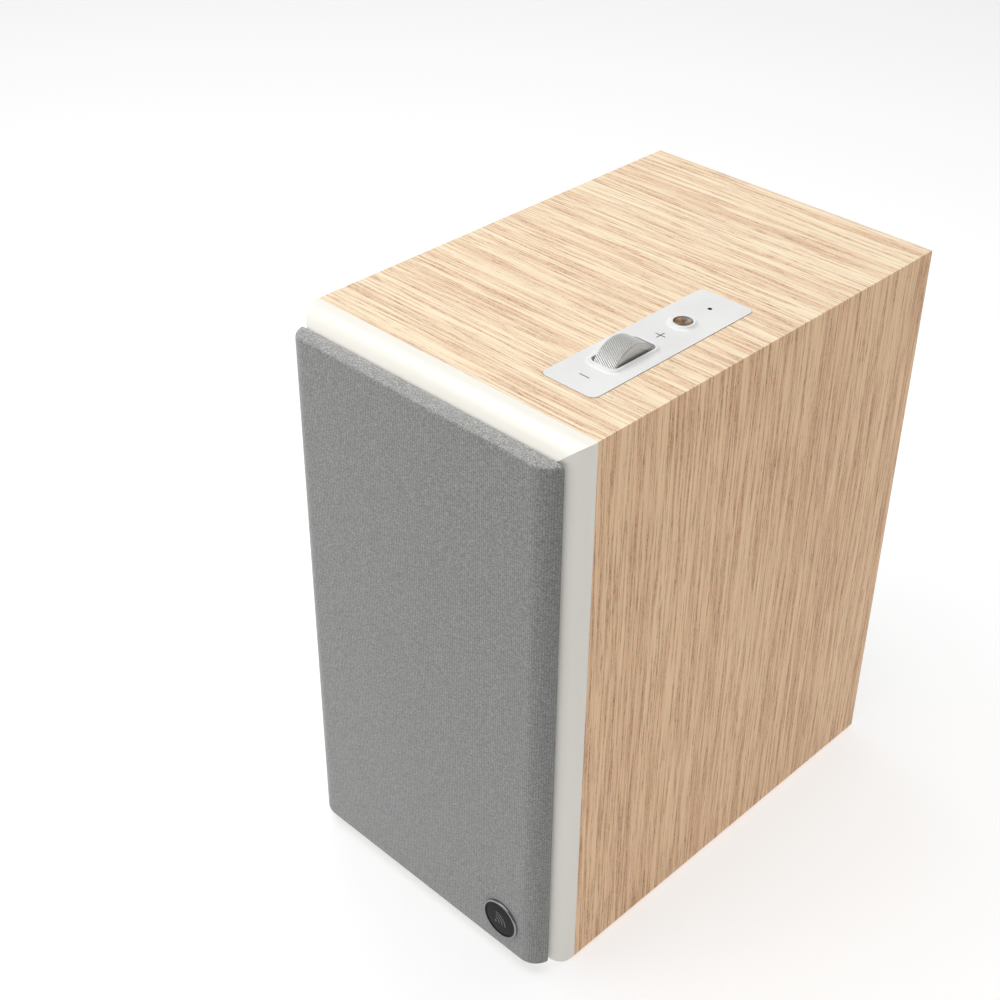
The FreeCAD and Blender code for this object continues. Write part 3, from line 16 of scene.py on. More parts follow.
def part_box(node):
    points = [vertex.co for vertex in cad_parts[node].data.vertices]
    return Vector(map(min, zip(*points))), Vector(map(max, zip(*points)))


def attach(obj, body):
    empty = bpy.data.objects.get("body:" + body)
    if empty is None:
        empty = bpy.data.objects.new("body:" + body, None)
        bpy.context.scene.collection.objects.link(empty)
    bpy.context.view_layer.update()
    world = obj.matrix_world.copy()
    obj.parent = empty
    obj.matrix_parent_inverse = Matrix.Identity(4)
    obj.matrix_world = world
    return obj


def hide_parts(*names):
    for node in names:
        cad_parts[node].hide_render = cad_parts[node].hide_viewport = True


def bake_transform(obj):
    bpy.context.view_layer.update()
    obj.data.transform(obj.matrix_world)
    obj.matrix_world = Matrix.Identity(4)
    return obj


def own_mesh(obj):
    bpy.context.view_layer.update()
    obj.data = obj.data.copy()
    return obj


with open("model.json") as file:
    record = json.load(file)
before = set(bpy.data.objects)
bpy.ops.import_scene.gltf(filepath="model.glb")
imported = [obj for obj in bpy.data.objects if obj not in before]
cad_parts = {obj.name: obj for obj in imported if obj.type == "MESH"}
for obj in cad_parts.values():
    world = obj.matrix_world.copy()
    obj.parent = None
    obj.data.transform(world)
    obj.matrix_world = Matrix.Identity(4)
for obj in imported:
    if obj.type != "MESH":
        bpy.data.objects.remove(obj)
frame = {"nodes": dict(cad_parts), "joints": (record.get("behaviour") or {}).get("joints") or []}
nodes = frame["nodes"]
joints = {joint["name"]: joint for joint in frame["joints"]}
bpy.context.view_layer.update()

# %% [markdown]
# ## The camera
# A product picture is taken from above a corner, with a long lens so that the edges stay nearly
# parallel. The camera is placed by where it stands, where it looks and which way is up for it,
# because three vectors say that more plainly than three angles do.

# %% Place the camera
stand_point = Vector((0.4427, -0.5377, 0.6628))
look = Vector((-0.5737, 0.5873, -0.5709)).normalized()
up = Vector((-0.4045, 0.4029, 0.8210))
right = look.cross(up).normalized()
up = right.cross(look)

camera = bpy.data.objects.new("camera", bpy.data.cameras.new("camera"))
bpy.context.scene.collection.objects.link(camera)
camera.data.lens = 59.8
camera.data.sensor_width = 36.0
camera.data.clip_start = 0.01
camera.matrix_world = Matrix.Translation(stand_point) @ Matrix((right, up, -look)).transposed().to_4x4()
bpy.context.scene.camera = camera
print("The camera stands", round(stand_point.length, 3), "m from the speaker's foot")

# %% [markdown]
# ## The room
# The light is that of a light tent: one wide soft box overhead, a weak one at the front left, and
# white walls low down all round, which come with the finishes, because they are shader sums too.
# The floor glows a little, as a lit table does, so it stays pale wherever the camera goes.

# %% A floor
bpy.ops.object.select_all(action="DESELECT")
bpy.ops.mesh.primitive_plane_add(size=8.0, location=(0, 0, -0.0005))
floor = bpy.context.object
floor.name = "floor"


def softbox(name, place, towards, width, power):
    """A square area light that faces a point."""
    lamp = bpy.data.lights.new(name, "AREA")
    lamp.size = width
    lamp.energy = power
    holder = bpy.data.objects.new(name, lamp)
    bpy.context.scene.collection.objects.link(holder)
    holder.location = place
    holder.rotation_euler = (Vector(towards) - Vector(place)).to_track_quat("-Z", "Y").to_euler()
    return holder


softbox("overhead", (-0.25, -0.1, 1.7), (0, 0, 0), 1.8, 28.5)
softbox("front_fill", (-1.3, -1.9, 0.8), (0, 0, 0.15), 1.4, 7.5)
bpy.context.scene.view_settings.view_transform = "Standard"

# %% [markdown]
# ## How the finishes are written
# A finish is a small sum: this much grain, less that much wear. Dragging nodes about hides the
# sum, so a socket is wrapped in a class that Python's own operators work on. A line such as
# `1 - mask * 0.3` then adds the Math nodes by itself. Any other node comes from one method.


# %% A socket that can be added and multiplied
class Wire:
    """One output of a shader node, with Python's arithmetic."""

    def __init__(self, finish, socket):
        self.finish = finish
        self.socket = socket

    def sum_with(self, operation, first, second):
        return self.finish.node("Math", {"operation": operation}, {0: first, 1: second})

    def __add__(self, other):
        return self.sum_with("ADD", self, other)

    def __radd__(self, other):
        return self.sum_with("ADD", other, self)

    def __sub__(self, other):
        return self.sum_with("SUBTRACT", self, other)

    def __rsub__(self, other):
        return self.sum_with("SUBTRACT", other, self)

    def __mul__(self, other):
        return self.sum_with("MULTIPLY", self, other)

    def __rmul__(self, other):
        return self.sum_with("MULTIPLY", other, self)

    def __truediv__(self, other):
        return self.sum_with("DIVIDE", self, other)

    def __pow__(self, other):
        return self.sum_with("POWER", self, other)


# %% A finish, and the one way to add a node to it
class Finish:
    """A material, or the world round the object, while it is being put together."""

    def __init__(self, name, library=bpy.data.materials):
        self.material = library.new(name)
        self.material.use_nodes = True
        self.tree = self.material.node_tree
        self.tree.nodes.clear()

    def node(self, kind, settings=None, sockets=None, out=0):
        """Adds a node, sets it up, gives its sockets values or links, and returns an output."""
        made = self.tree.nodes.new("ShaderNode" + kind)
        for name, value in (settings or {}).items():
            if name == "stops":
                ramp = made.color_ramp
                ramp.elements[0].position, ramp.elements[0].color = value[0]
                ramp.elements[1].position, ramp.elements[1].color = value[-1]
                for place, colour in value[1:-1]:
                    ramp.elements.new(place).color = colour
            else:
                setattr(made, name, value)
        for name, value in (sockets or {}).items():
            if isinstance(value, Wire):
                self.tree.links.new(value.socket, made.inputs[name])
            else:
                made.inputs[name].default_value = value
        return Wire(self, made.outputs[out]) if made.outputs else made

    def place(self):
        """The three coordinates of a point on the piece, in metres."""
        point = self.node("TexCoord", out="Object")
        return [self.node("SeparateXYZ", sockets={"Vector": point}, out=axis) for axis in "XYZ"]

    def point(self, x, y, z):
        return self.node("CombineXYZ", sockets={"X": x, "Y": y, "Z": z})

    def noise(self, where, detail=2.0, roughness=0.5, scale=1.0):
        sockets = {"Vector": where, "Scale": scale, "Detail": detail, "Roughness": roughness}
        return self.node("TexNoise", sockets=sockets)

    def wave(self, value):
        """A sine of a value, from 0 to 1."""
        return self.node("Math", {"operation": "SINE"}, {0: value}) * 0.5 + 0.5

    def between(self, value, low, high):
        """0 where a value is under low, 1 where it is over high, smooth in between."""
        sockets = {"Value": value, "From Min": low, "From Max": high}
        return self.node("MapRange", {"interpolation_type": "SMOOTHSTEP"}, sockets)

    def mix(self, share, first, second):
        return self.node("Mix", {"data_type": "RGBA"}, {0: share, 6: first, 7: second}, out=2)

    def bump(self, height, depth, strength=1.0):
        sockets = {"Height": height, "Distance": depth, "Strength": strength}
        return self.node("Bump", sockets=sockets)

    def shade(self, base, rough, metal=0.0, coat=0.0, normal=None, **constants):
        """Ends the finish in one Principled shader."""
        sockets = {"Base Color": base, "Roughness": rough, "Metallic": metal, "Coat Weight": coat}
        if normal is not None:
            sockets["Normal"] = normal
        sockets.update({name.replace("_", " "): value for name, value in constants.items()})
        self.node("OutputMaterial", sockets={"Surface": self.node("BsdfPrincipled", sockets=sockets)})
        return self.material


def colour(code):
    """A web colour as the shader's own linear numbers."""
    parts = [int(code[i : i + 2], 16) / 255 for i in (1, 3, 5)]
    linear = [part / 12.92 if part <= 0.04045 else ((part + 0.055) / 1.055) ** 2.4 for part in parts]
    return (*linear, 1.0)


def wear(finish, *names):
    """Gives CAD pieces a finish in place of the one they came with."""
    for name in names:
        mesh = nodes[name].data
        mesh.materials.clear()
        mesh.materials.append(finish)


print("The helpers are ready")

# %% [markdown]
# ## The walls of the light tent
# The tent's walls glow low down and fade with height, as white cloth does that is lit from a pale
# floor. The wall on the right hangs lower, so that side of the box is a shade darker than its
# front, and the two read as different faces.


# %% Light the walls
def make_tent():
    tent = Finish("light_tent", bpy.data.worlds)
    way = tent.node("TexCoord", out="Generated")
    to_right = tent.node("SeparateXYZ", sockets={"Vector": way}, out="X")
    rise = tent.node("SeparateXYZ", sockets={"Vector": way}, out="Z")
    lower = tent.node("Math", {"operation": "MAXIMUM"}, {0: to_right, 1: 0.0}) * 0.34
    fade = tent.between(rise + lower, 0.08, 0.44)
    glow = tent.mix(fade, (0.9, 0.9, 0.9, 1.0), (0.15, 0.15, 0.15, 1.0))
    tent.node("OutputWorld", sockets={"Surface": tent.node("Background", sockets={"Color": glow})})
    return tent.material


bpy.context.scene.world = make_tent()
print("The walls belong to", bpy.context.scene.world.name)

# %% [markdown]
# ## Oak veneer
# The box is wrapped in one sheet of straight-grained oak: the grain crosses the top and runs on
# down the sides, so a streak that reaches the edge goes over it. That is done with a coordinate
# that counts the distance along the sheet: across the top it is x, and past the edge it goes on
# with the distance below the top. Long thin noise then gives streaks and open pores. The boards'
# bare ends at the back are edged with the same oak, whose grain runs along each board.

# %% Oak
top_of_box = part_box("cabinet_top")[1].z
back_of_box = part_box("cabinet_top")[1].y
foot_of_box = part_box("cabinet_bottom")[0].z
half_of_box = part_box("cabinet_right")[1].x


def make_oak(name, light, warm, streak, pore):
    oak = Finish(name)
    x, y, z = oak.place()
    side = oak.node("Math", {"operation": "SIGN"}, {0: x})
    at_back = oak.between(y, back_of_box - 0.0004, back_of_box - 0.0002)
    from_side = half_of_box - oak.node("Math", {"operation": "ABSOLUTE"}, {0: x})
    from_level = oak.node("Math", {"operation": "MINIMUM"}, {0: top_of_box - z, 1: z - foot_of_box})
    upright = oak.node("Math", {"operation": "LESS_THAN"}, {0: from_side, 1: from_level})
    edge_along = upright * z + (1 - upright) * x
    edge_across = upright * x + (1 - upright) * z
    along = (x + side * (top_of_box - z)) * (1 - at_back) + edge_along * at_back
    over = y * (1 - at_back) + edge_across * at_back
    drift = oak.noise(oak.point(along * 4.0, over * 10.0, 0.0), detail=2.0) * 0.004
    across = over + drift
    bands = oak.noise(oak.point(along * 4.5, across * 220.0, 1.7), detail=2.0)
    lines = oak.noise(oak.point(along * 14.0, across * 700.0, 5.1), detail=2.0, roughness=0.6)
    streaks = oak.noise(oak.point(along * 34.0, across * 1500.0, 2.6), detail=1.0)
    dashes = oak.noise(oak.point(along * 150.0, across * 1900.0, 6.4), detail=1.0)
    fibres = oak.noise(oak.point(along * 620.0, across * 2400.0, 8.3), detail=1.0)
    tone = oak.between(0.42 * bands + 0.58 * lines, 0.42, 0.58)
    base = oak.mix(tone, light, warm)
    dark = oak.between(streaks, 0.42, 0.58) * (0.30 + 0.70 * tone)
    base = oak.mix(dark * 0.78, base, streak)
    pores = oak.between(dashes, 0.50, 0.60) * oak.between(0.5 * lines + 0.5 * streaks, 0.48, 0.58)
    base = oak.mix(pores * 0.65, base, pore)
    base = oak.mix(oak.between(fibres, 0.40, 0.62) * 0.35, base, light)
    height = 0.5 * fibres - 0.9 * pores - 0.4 * dark
    return oak.shade(base, 0.46 + 0.14 * dark, normal=oak.bump(height, 0.00010, 0.45))


# The top wears its own paler, less yellow copy of the oak. This is painted light, standing in for the
# stronger light that falls on the top. The sides wear the other copy.
top_painted_light_shades = map(colour, ("#F7E6C8", "#EACBA9", "#CDA283", "#A67A5C"))
side_shades = map(colour, ("#FFD8AA", "#EEBE93", "#CC9A72", "#9A6441"))
wear(make_oak("oak_top_leaf", *top_painted_light_shades), "cabinet_top")
wear(make_oak("oak_side_leaf", *side_shades), "cabinet_bottom", "cabinet_left", "cabinet_right")
print("The sheet is counted from the top at z =", round(top_of_box, 4))

# %% [markdown]
# ## Painted and moulded finishes
# The baffle is painted fibreboard: a satin coat with the faintest orange peel. Black moulded parts
# have a spark-eroded grain, and their roughness varies a little from place to place.


# %% Paint and plastic
def make_plain(name, shade, rough, grain=0.25, depth=0.00002, size=2600.0, coat=0.0, **constants):
    """One colour, with a fine grain, and a slow change in colour and gloss as handling leaves."""
    plain = Finish(name)
    where = plain.node("TexCoord", out="Object")
    fine = plain.noise(where, scale=size, detail=2.0)
    slow = plain.noise(where, scale=38.0, detail=3.0)
    darker = tuple(part * 0.86 for part in shade[:3]) + (1.0,)
    base = plain.mix(plain.between(slow, 0.35, 0.7) * 0.5, shade, darker)
    gloss = rough + 0.10 * (slow - 0.5) + 0.06 * (fine - 0.5)
    return plain.shade(base, gloss, 0.0, coat, plain.bump(fine, depth, grain), **constants)


def make_paint():
    """Satin white paint: nearly even, with a soft orange peel."""
    paint = Finish("white_paint")
    where = paint.node("TexCoord", out="Object")
    peel = paint.noise(where, scale=900.0, detail=1.0)
    slow = paint.noise(where, scale=14.0, detail=2.0)
    base = paint.mix(paint.between(slow, 0.3, 0.7) * 0.35, colour("#F5F2E9"), colour("#F0EDE4"))
    return paint.shade(base, 0.34 + 0.06 * (slow - 0.5), coat=0.15, normal=paint.bump(peel, 0.00001, 0.3))


wear(make_paint(), "front_baffle")
moulded = make_plain("moulded_black", colour("#1C1C1D"), 0.52)
soft_rubber = make_plain("soft_rubber", colour("#1A1A1B"), 0.68, size=1500.0)
# The housing under the wheel is black plastic. It is given a darker black than the other moulded parts as
# painted shade, so that the gap round the wheel reads dark.
wear(make_plain("slot_black", colour("#0C0C0D"), 0.62), "control_housing")
wear(moulded, "grille_frame", "control_switches", "power_inlet", "power_switch_frame")
wear(moulded, "optical_socket", "line_phono_slider", "port_tube", "tweeter_waveguide")
wear(soft_rubber, "rubber_feet", "woofer_gasket", "driver_cables", "control_cable")
wear(make_plain("board_paint", colour("#161617"), 0.74, depth=0.00005, size=700.0), "rear_panel")
wear(make_plain("fibreboard", colour("#9C7A55"), 0.85, 0.6, 0.00008, 1300.0), "cabinet_brace")
wear(make_plain("strip_satin", colour("#EAEAE9"), 0.30, 0.12, 0.000008, 3000.0), "control_plate")
print("Plain finishes:", len(bpy.data.materials))

# %% [markdown]
# ## Metals
# Turned and drawn metal is never even: fine lines run round or along it. The lines are noise
# stretched in one direction, and they feed both the roughness and the bump.


# %% Metal
def make_metal(name, shade, rough, stretch, depth=0.00001, strength=0.25, metal=1.0):
    """Metal with fine lines: stretch is small along the lines and large across them."""
    made = Finish(name)
    x, y, z = made.place()
    lines = made.noise(made.point(x * stretch[0], y * stretch[1], z * stretch[2]), detail=2.0)
    slow = made.noise(made.node("TexCoord", out="Object"), scale=60.0)
    darker = tuple(part * 0.8 for part in shade[:3]) + (1.0,)
    base = made.mix(made.between(lines, 0.3, 0.75) * 0.4, shade, darker)
    gloss = rough + 0.14 * (lines - 0.5) + 0.08 * (slow - 0.5)
    return made.shade(base, gloss, metal, normal=made.bump(lines, depth, strength))


steel = make_metal("plated_steel", colour("#B9BBBE"), 0.34, (900, 60, 900))
wear(steel, "woofer_pole_pieces", "digital_sockets", "slide_switch_body", "volume_axle", "button_spring")
wear(steel, "baffle_magnets", "grille_magnets", "tweeter_motor")
for name, code, rough, stretch, pieces in (
    ("black_oxide", "#242426", 0.38, (2500, 2500, 2500), ["fixing_screws"]),
    ("bright_nickel", "#D5D4D0", 0.16, (1500, 80, 1500), ["rca_shells", "ground_nut"]),
    ("gold_flash", "#D9B066", 0.20, (1500, 80, 1500), ["terminal_studs", "woofer_terminals"]),
    ("bare_aluminium", "#B4B6B8", 0.42, (60, 700, 1500), ["heat_sink", "smoothing_capacitors"]),
    ("copper_wire", "#B4653A", 0.35, (300, 5200, 300), ["tweeter_coil", "woofer_voice_coil"]),
):
    wear(make_metal(name, colour(code), rough, stretch), *pieces)
for name, code, rough, stretch, depth, strength, metal, piece in (
    ("powder_coat", "#1B1B1D", 0.55, (1800, 1800, 1800), 0.00004, 0.5, 0.0, "woofer_basket"),
    ("anodised_plate", "#1E1F21", 0.46, (1200, 1200, 90), 0.00002, 0.3, 0.35, "amp_plate"),
    ("ferrite", "#2A2A2C", 0.72, (1400, 1400, 1400), 0.00006, 0.5, 0.1, "woofer_magnet"),
):
    wear(make_metal(name, colour(code), rough, stretch, depth, strength, metal), piece)
wear(make_plain("solder_mask", colour("#14502C"), 0.32, coat=0.4), "circuit_boards")
wear(make_plain("winding_tape", colour("#B98E1E"), 0.40, size=420.0), "power_transformer")
wear(make_plain("jack_core", colour("#E4E3DF"), 0.42), "rca_inserts")
wear(make_plain("rocker_black", colour("#131314"), 0.26, coat=0.3), "power_rocker")
wear(make_plain("status_lens", colour("#0B0B0C"), 0.12, 0.05), "status_light")
wear(make_plain("knob_red", colour("#8E1014"), 0.22, 0.1, coat=0.5), "binding_knob_red")
wear(make_plain("knob_black", colour("#121213"), 0.22, 0.1, coat=0.5), "binding_knob_black")
print("All finishes so far:", len(bpy.data.materials))

# %% [markdown]
# ## Modelling helpers
# Each new piece starts from a primitive and is shaped in edit mode. An operator works on what is
# selected, so a helper clears the selection first, and another picks vertices, edges or faces by
# a test of their place. When a piece is done its place is moved into its mesh, because its finish
# reads the coordinates of the mesh.


# %% Selecting and settling
def fresh():
    """Leaves edit mode and clears the selection."""
    if bpy.context.object and bpy.context.object.mode != "OBJECT":
        bpy.ops.object.mode_set(mode="OBJECT")
    bpy.ops.object.select_all(action="DESELECT")


def choose(piece):
    """Makes a piece the only one selected."""
    fresh()
    piece.select_set(True)
    bpy.context.view_layer.objects.active = piece


def work_on(piece):
    """Chooses a piece and opens it for editing."""
    choose(piece)
    bpy.ops.object.mode_set(mode="EDIT")


def pick_all():
    """Selects the whole of the piece in edit mode."""
    bpy.ops.mesh.select_all(action="SELECT")


def seal(merge):
    """Merges the doubles of the piece in edit mode, and turns its faces outwards."""
    pick_all()
    bpy.ops.mesh.remove_doubles(threshold=merge)
    pick_all()
    bpy.ops.mesh.normals_make_consistent(inside=False)


def pick(piece, kind, test):
    """Selects only the verts, edges or faces whose middle and normal pass a test."""
    bpy.ops.mesh.select_all(action="DESELECT")
    bpy.ops.mesh.select_mode(type={"verts": "VERT", "edges": "EDGE", "faces": "FACE"}[kind])
    shape = bmesh.from_edit_mesh(piece.data)
    matrix = piece.matrix_world
    found = 0
    for item in getattr(shape, kind):
        if kind == "verts":
            hit = test(matrix @ item.co, item.normal)
        elif kind == "edges":
            ends = [matrix @ vert.co for vert in item.verts]
            hit = test((ends[0] + ends[1]) / 2, (ends[1] - ends[0]).normalized())
        else:
            hit = test(matrix @ item.calc_center_median(), item.normal)
        if hit:
            item.select_set(True)
            found += 1
    shape.select_flush_mode()
    bmesh.update_edit_mesh(piece.data)
    return found


def settle(piece, name, finish, body, angle=30.0):
    """Ends a piece: place into the mesh, smooth shading, a finish, and the body that it rides on."""
    choose(piece)
    piece.name = name
    piece.data.name = name
    bpy.ops.object.transform_apply(location=True, rotation=True, scale=True)
    bpy.ops.object.shade_smooth_by_angle(angle=math.radians(angle))
    piece.data.materials.clear()
    piece.data.materials.append(finish)
    if body:
        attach(piece, body)
    print(name, "has", len(piece.data.polygons), "faces and rides on", body or "two bodies")
    return piece


def use_modifier(piece, kind, name, **settings):
    """Adds a modifier, sets it up and applies it."""
    choose(piece)
    made = piece.modifiers.new(name, kind)
    for key, value in settings.items():
        setattr(made, key, value)
    bpy.ops.object.modifier_apply(modifier=made.name)


facing_front = (math.pi / 2, 0, 0)
print("The modelling helpers are ready")

# %% [markdown]
# ## The grille's cloth
# A knitted grey cloth is pulled over the moulded frame and round its edges. The tight cloth
# takes the frame's form, so it is modelled as the form's own skin: a box open at the back, whose
# upright edges are rounded widely and whose top and bottom edges only a little. A Solidify
# modifier gives it the cloth's thickness, inwards.

# %% Shape the cloth
low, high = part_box("grille_cloth")
side_round = 0.011
edge_round = 0.0026
cloth_depth = high.y - low.y
fresh()
bpy.ops.mesh.primitive_cube_add(
    size=1.0,
    location=((low.x + high.x) / 2, low.y + (cloth_depth + side_round) / 2, (low.z + high.z) / 2),
    scale=(high.x - low.x, cloth_depth + side_round, high.z - low.z),
)
cloth = bpy.context.object
work_on(cloth)
uprights = pick(cloth, "edges", lambda middle, run: middle.y < low.y + 0.001 and abs(run.z) > 0.9)
bpy.ops.mesh.bevel(offset=side_round, segments=14, affect="EDGES", offset_type="OFFSET")
rims = pick(
    cloth,
    "edges",
    lambda middle, run: abs(run.z) < 0.1
    and min(abs(middle.z - low.z), abs(middle.z - high.z)) < 1e-5
    and middle.y < low.y + side_round - 0.0002,
)
bpy.ops.mesh.bevel(offset=edge_round, segments=5, affect="EDGES", offset_type="OFFSET")
pick_all()
bpy.ops.mesh.bisect(plane_co=(0, high.y, 0), plane_no=(0, 1, 0), clear_outer=True)
print("Rounded", uprights, "upright edges and", rims, "rim edges")

# %% [markdown]
# The knit's ribs run up the cloth and stay evenly spaced round the sides. A UV map carries that:
# its first number is the distance round the form from the middle, and its second is the height.

# %% Lay the cloth's own coordinates
fresh()
round_from = (high.x - low.x) / 2 - side_round


def girth(x, y):
    """The distance along the cloth from its middle line to a point."""
    if abs(x) <= round_from:
        return x
    turn = math.atan2(abs(x) - round_from, side_round - (y - low.y))
    return math.copysign(round_from + side_round * turn, x)


cloth.data.transform(cloth.matrix_world)
cloth.matrix_world = Matrix.Identity(4)
flat_map = cloth.data.uv_layers.active or cloth.data.uv_layers.new(name="UVMap")
for loop in cloth.data.loops:
    corner = cloth.data.vertices[loop.vertex_index].co
    flat_map.data[loop.index].uv = (girth(corner.x, corner.y), corner.z)
for face in cloth.data.polygons:
    if abs(face.normal.z) > 0.75:
        for number in face.loop_indices:
            corner = cloth.data.vertices[cloth.data.loops[number].vertex_index].co
            past_edge = math.copysign(corner.y - low.y, face.normal.z)
            flat_map.data[number].uv = (corner.x, corner.z + past_edge)
use_modifier(cloth, "SOLIDIFY", "thickness", thickness=0.0007, offset=-1.0)
print("The cloth is", round(2 * girth(high.x, high.y), 4), "m wide when it lies flat")


# %% [markdown]
# Melange yarn is spun from dark and pale fibres, so every stitch has a shade of its own. White
# noise of the stitch's column and row number gives each one a shade, and fine noise mixes the
# fibres inside it. The band where the cloth turns over the top edge is painted paler: painted light, for
# the stronger light that falls on the top.


# %% Grey knit
rib_pitch = 0.00115


def make_knit():
    knit = Finish("grey_knit")
    sheet = knit.node("UVMap", {"uv_map": "UVMap"})
    across = knit.node("SeparateXYZ", sockets={"Vector": sheet}, out="X")
    up_it = knit.node("SeparateXYZ", sockets={"Vector": sheet}, out="Y")
    wander = knit.noise(knit.point(across * 60.0, up_it * 40.0, 0.0)) * 0.0004
    ribs = knit.wave((across + wander) * (2 * math.pi / rib_pitch))
    loops = knit.wave((up_it + 0.3 * across) * (2 * math.pi / 0.0008))
    column = knit.node("Math", {"operation": "FLOOR"}, {0: (across + wander) / (rib_pitch / 2)})
    row = knit.node("Math", {"operation": "FLOOR"}, {0: up_it / 0.00042 + 0.5 * column})
    place_in_knit = knit.point(column, row, 0.0)
    stitch = knit.node("TexWhiteNoise", {"noise_dimensions": "2D"}, {"Vector": place_in_knit})
    threads = knit.noise(knit.point(across * 3400.0, up_it * 2700.0, 0.0), detail=1.0)
    base = knit.mix(0.62 * stitch + 0.38 * threads, colour("#686867"), colour("#A2A2A1"))
    # Painted light: the band over the top edge is painted paler, for the stronger light that falls on the
    # top.
    top_band_painted_light = knit.between(up_it, high.z - 0.0014, high.z + 0.0004)
    flecks = knit.between(0.7 * threads + 0.3 * stitch + 0.10 * loops, 0.54, 0.74)
    base = knit.mix(flecks * (0.16 + 0.44 * top_band_painted_light) + 0.14 * top_band_painted_light, base, colour("#DEDEDA"))
    # Painted shade: the valleys between the ribs are darkened.
    base = knit.mix((1 - ribs) * 0.27, base, colour("#4E4E4E"))
    height = ribs * (0.6 + 0.4 * loops) + 0.5 * threads
    return knit.shade(base, 0.95, normal=knit.bump(height, 0.00018, 0.6), Sheen_Weight=0.45)


settle(cloth, "grille_knit", make_knit(), "grille", 40.0)
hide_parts("grille_cloth")

# %% [markdown]
# ## The volume wheel
# The wheel is a thick disc whose rim has a fine slanted knurl, so that a finger doesn't slip. The
# rim starts as a circle whose points go up and down by a tenth of a millimetre. It is extruded
# across in small steps, and each step is also turned a little, which slants the ridges.

# %% Knurl the wheel
wheel_joint = joints["volume_turn"]
hub = Vector(wheel_joint["pos_m"])
rim_low, rim_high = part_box("volume_wheel")
rim_radius = (rim_high.z - rim_low.z) / 2
wheel_width = rim_high.x - rim_low.x
ridge_count = 88
ridge_depth = 0.00042
steps = 10
slant = -wheel_width * math.tan(math.radians(30.0)) / rim_radius
band = 0.0005
fresh()
bpy.ops.mesh.primitive_circle_add(
    vertices=ridge_count * 2,
    radius=rim_radius,
    location=(rim_low.x + band, hub.y, hub.z),
    rotation=(0, math.pi / 2, 0),
)
wheel = bpy.context.object
choose(wheel)
bpy.ops.object.transform_apply(location=False, rotation=True, scale=True)
for number, vert in enumerate(wheel.data.vertices):
    if number % 2:
        vert.co *= (rim_radius - ridge_depth) / rim_radius
work_on(wheel)
pick_all()
for step in range(steps):
    bpy.ops.mesh.extrude_region_move(
        TRANSFORM_OT_translate={"value": ((wheel_width - 2 * band) / steps, 0, 0)}
    )
    bpy.ops.transform.rotate(value=slant / steps, orient_axis="X", center_override=tuple(hub))
print("The knurl turns", round(math.degrees(abs(slant)), 1), "degrees across the rim")


# %% Close the wheel's sides
def close_side(outward):
    """Caps one side: a small chamfer, a flat face, and a shallow dish round the middle."""
    edge_x = hub.x + outward * (wheel_width / 2 - band)
    pick(wheel, "edges", lambda middle, run: abs(middle.x - edge_x) < 1e-5 and abs(run.x) < 0.5)
    for shift, scale in ((band, 0.968), (0.0, 0.84), (-0.0002, 0.985), (-0.0001, 0.35)):
        bpy.ops.mesh.extrude_region_move(TRANSFORM_OT_translate={"value": (outward * shift, 0, 0)})
        bpy.ops.transform.resize(value=(1.0, scale, scale), center_override=tuple(hub))
    bpy.ops.mesh.edge_face_add()


close_side(1)
close_side(-1)
seal(0.000005)
fresh()
print("The wheel's size in mm:", round(2000 * rim_radius, 1), "by", round(1000 * wheel_width, 1))


# %% Satin wheel finish
def make_wheel():
    satin = Finish("wheel_satin")
    x, y, z = satin.place()
    from_hub = ((y - hub.y) ** 2 + (z - hub.z) ** 2) ** 0.5
    rings = satin.noise(satin.point(from_hub * 5200.0, 0.0, x * 40.0), detail=1.0)
    slow = satin.noise(satin.node("TexCoord", out="Object"), scale=90.0)
    base = satin.mix(satin.between(rings, 0.3, 0.75) * 0.35, colour("#DBDBD9"), colour("#BEBEBC"))
    # Painted shade: the valleys of the knurl are darkened, most deeply towards the hub.
    groove_painted_shade = 1 - satin.between(from_hub, rim_radius - 0.9 * ridge_depth, rim_radius - 0.25 * ridge_depth)
    on_rim = satin.between(from_hub, rim_radius - 1.05 * ridge_depth, rim_radius - ridge_depth)
    base = satin.mix(groove_painted_shade * on_rim * 0.45, base, colour("#5A5A5B"))
    gloss = 0.42 + 0.10 * (rings - 0.5) + 0.08 * (slow - 0.5)
    return satin.shade(base, gloss, 0.55, normal=satin.bump(rings, 0.000006, 0.3))


settle(wheel, "knurled_wheel", make_wheel(), "volume_wheel", 25.0)
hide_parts("volume_wheel")

# %% [markdown]
# ## The marks by the wheel
# A minus and a plus are printed on the strip in front of the wheel and behind it. Ink has hardly
# any thickness, so each stroke is a plate a twentieth of a millimetre thick with rounded ends.

# %% Print the marks
strip_rise = 0.0003
strip_face = top_of_box + strip_rise
stroke = 0.0005
ink_thickness = 0.00005


def print_stroke(x, y, length, across):
    """One flat stroke, along X or along Y."""
    fresh()
    size = (length, stroke, ink_thickness) if across else (stroke, length, ink_thickness)
    middle = (x, y, strip_face + ink_thickness / 2)
    bpy.ops.mesh.primitive_cube_add(size=1.0, location=middle, scale=size)
    made = bpy.context.object
    work_on(made)
    pick(made, "edges", lambda middle, run: abs(run.z) > 0.9)
    bpy.ops.mesh.bevel(offset=stroke * 0.45, segments=3, affect="EDGES", offset_type="OFFSET")
    fresh()
    return made


ink = make_plain("printed_ink", colour("#4A4B4F"), 0.6, 0.1)
button_low, button_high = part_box("button_cap")
button_y = (button_low.y + button_high.y) / 2
mark_length = 0.0056
minus_y = hub.y - 0.0249
plus_y = hub.y + 0.0246
minus = print_stroke(hub.x, minus_y, mark_length, True)
plus_one = print_stroke(hub.x, plus_y, mark_length, True)
plus_two = print_stroke(hub.x, plus_y, mark_length, False)
for name, mark in (("minus_mark", minus), ("plus_bar", plus_one), ("plus_upright", plus_two)):
    settle(mark, name, ink, "cabinet")
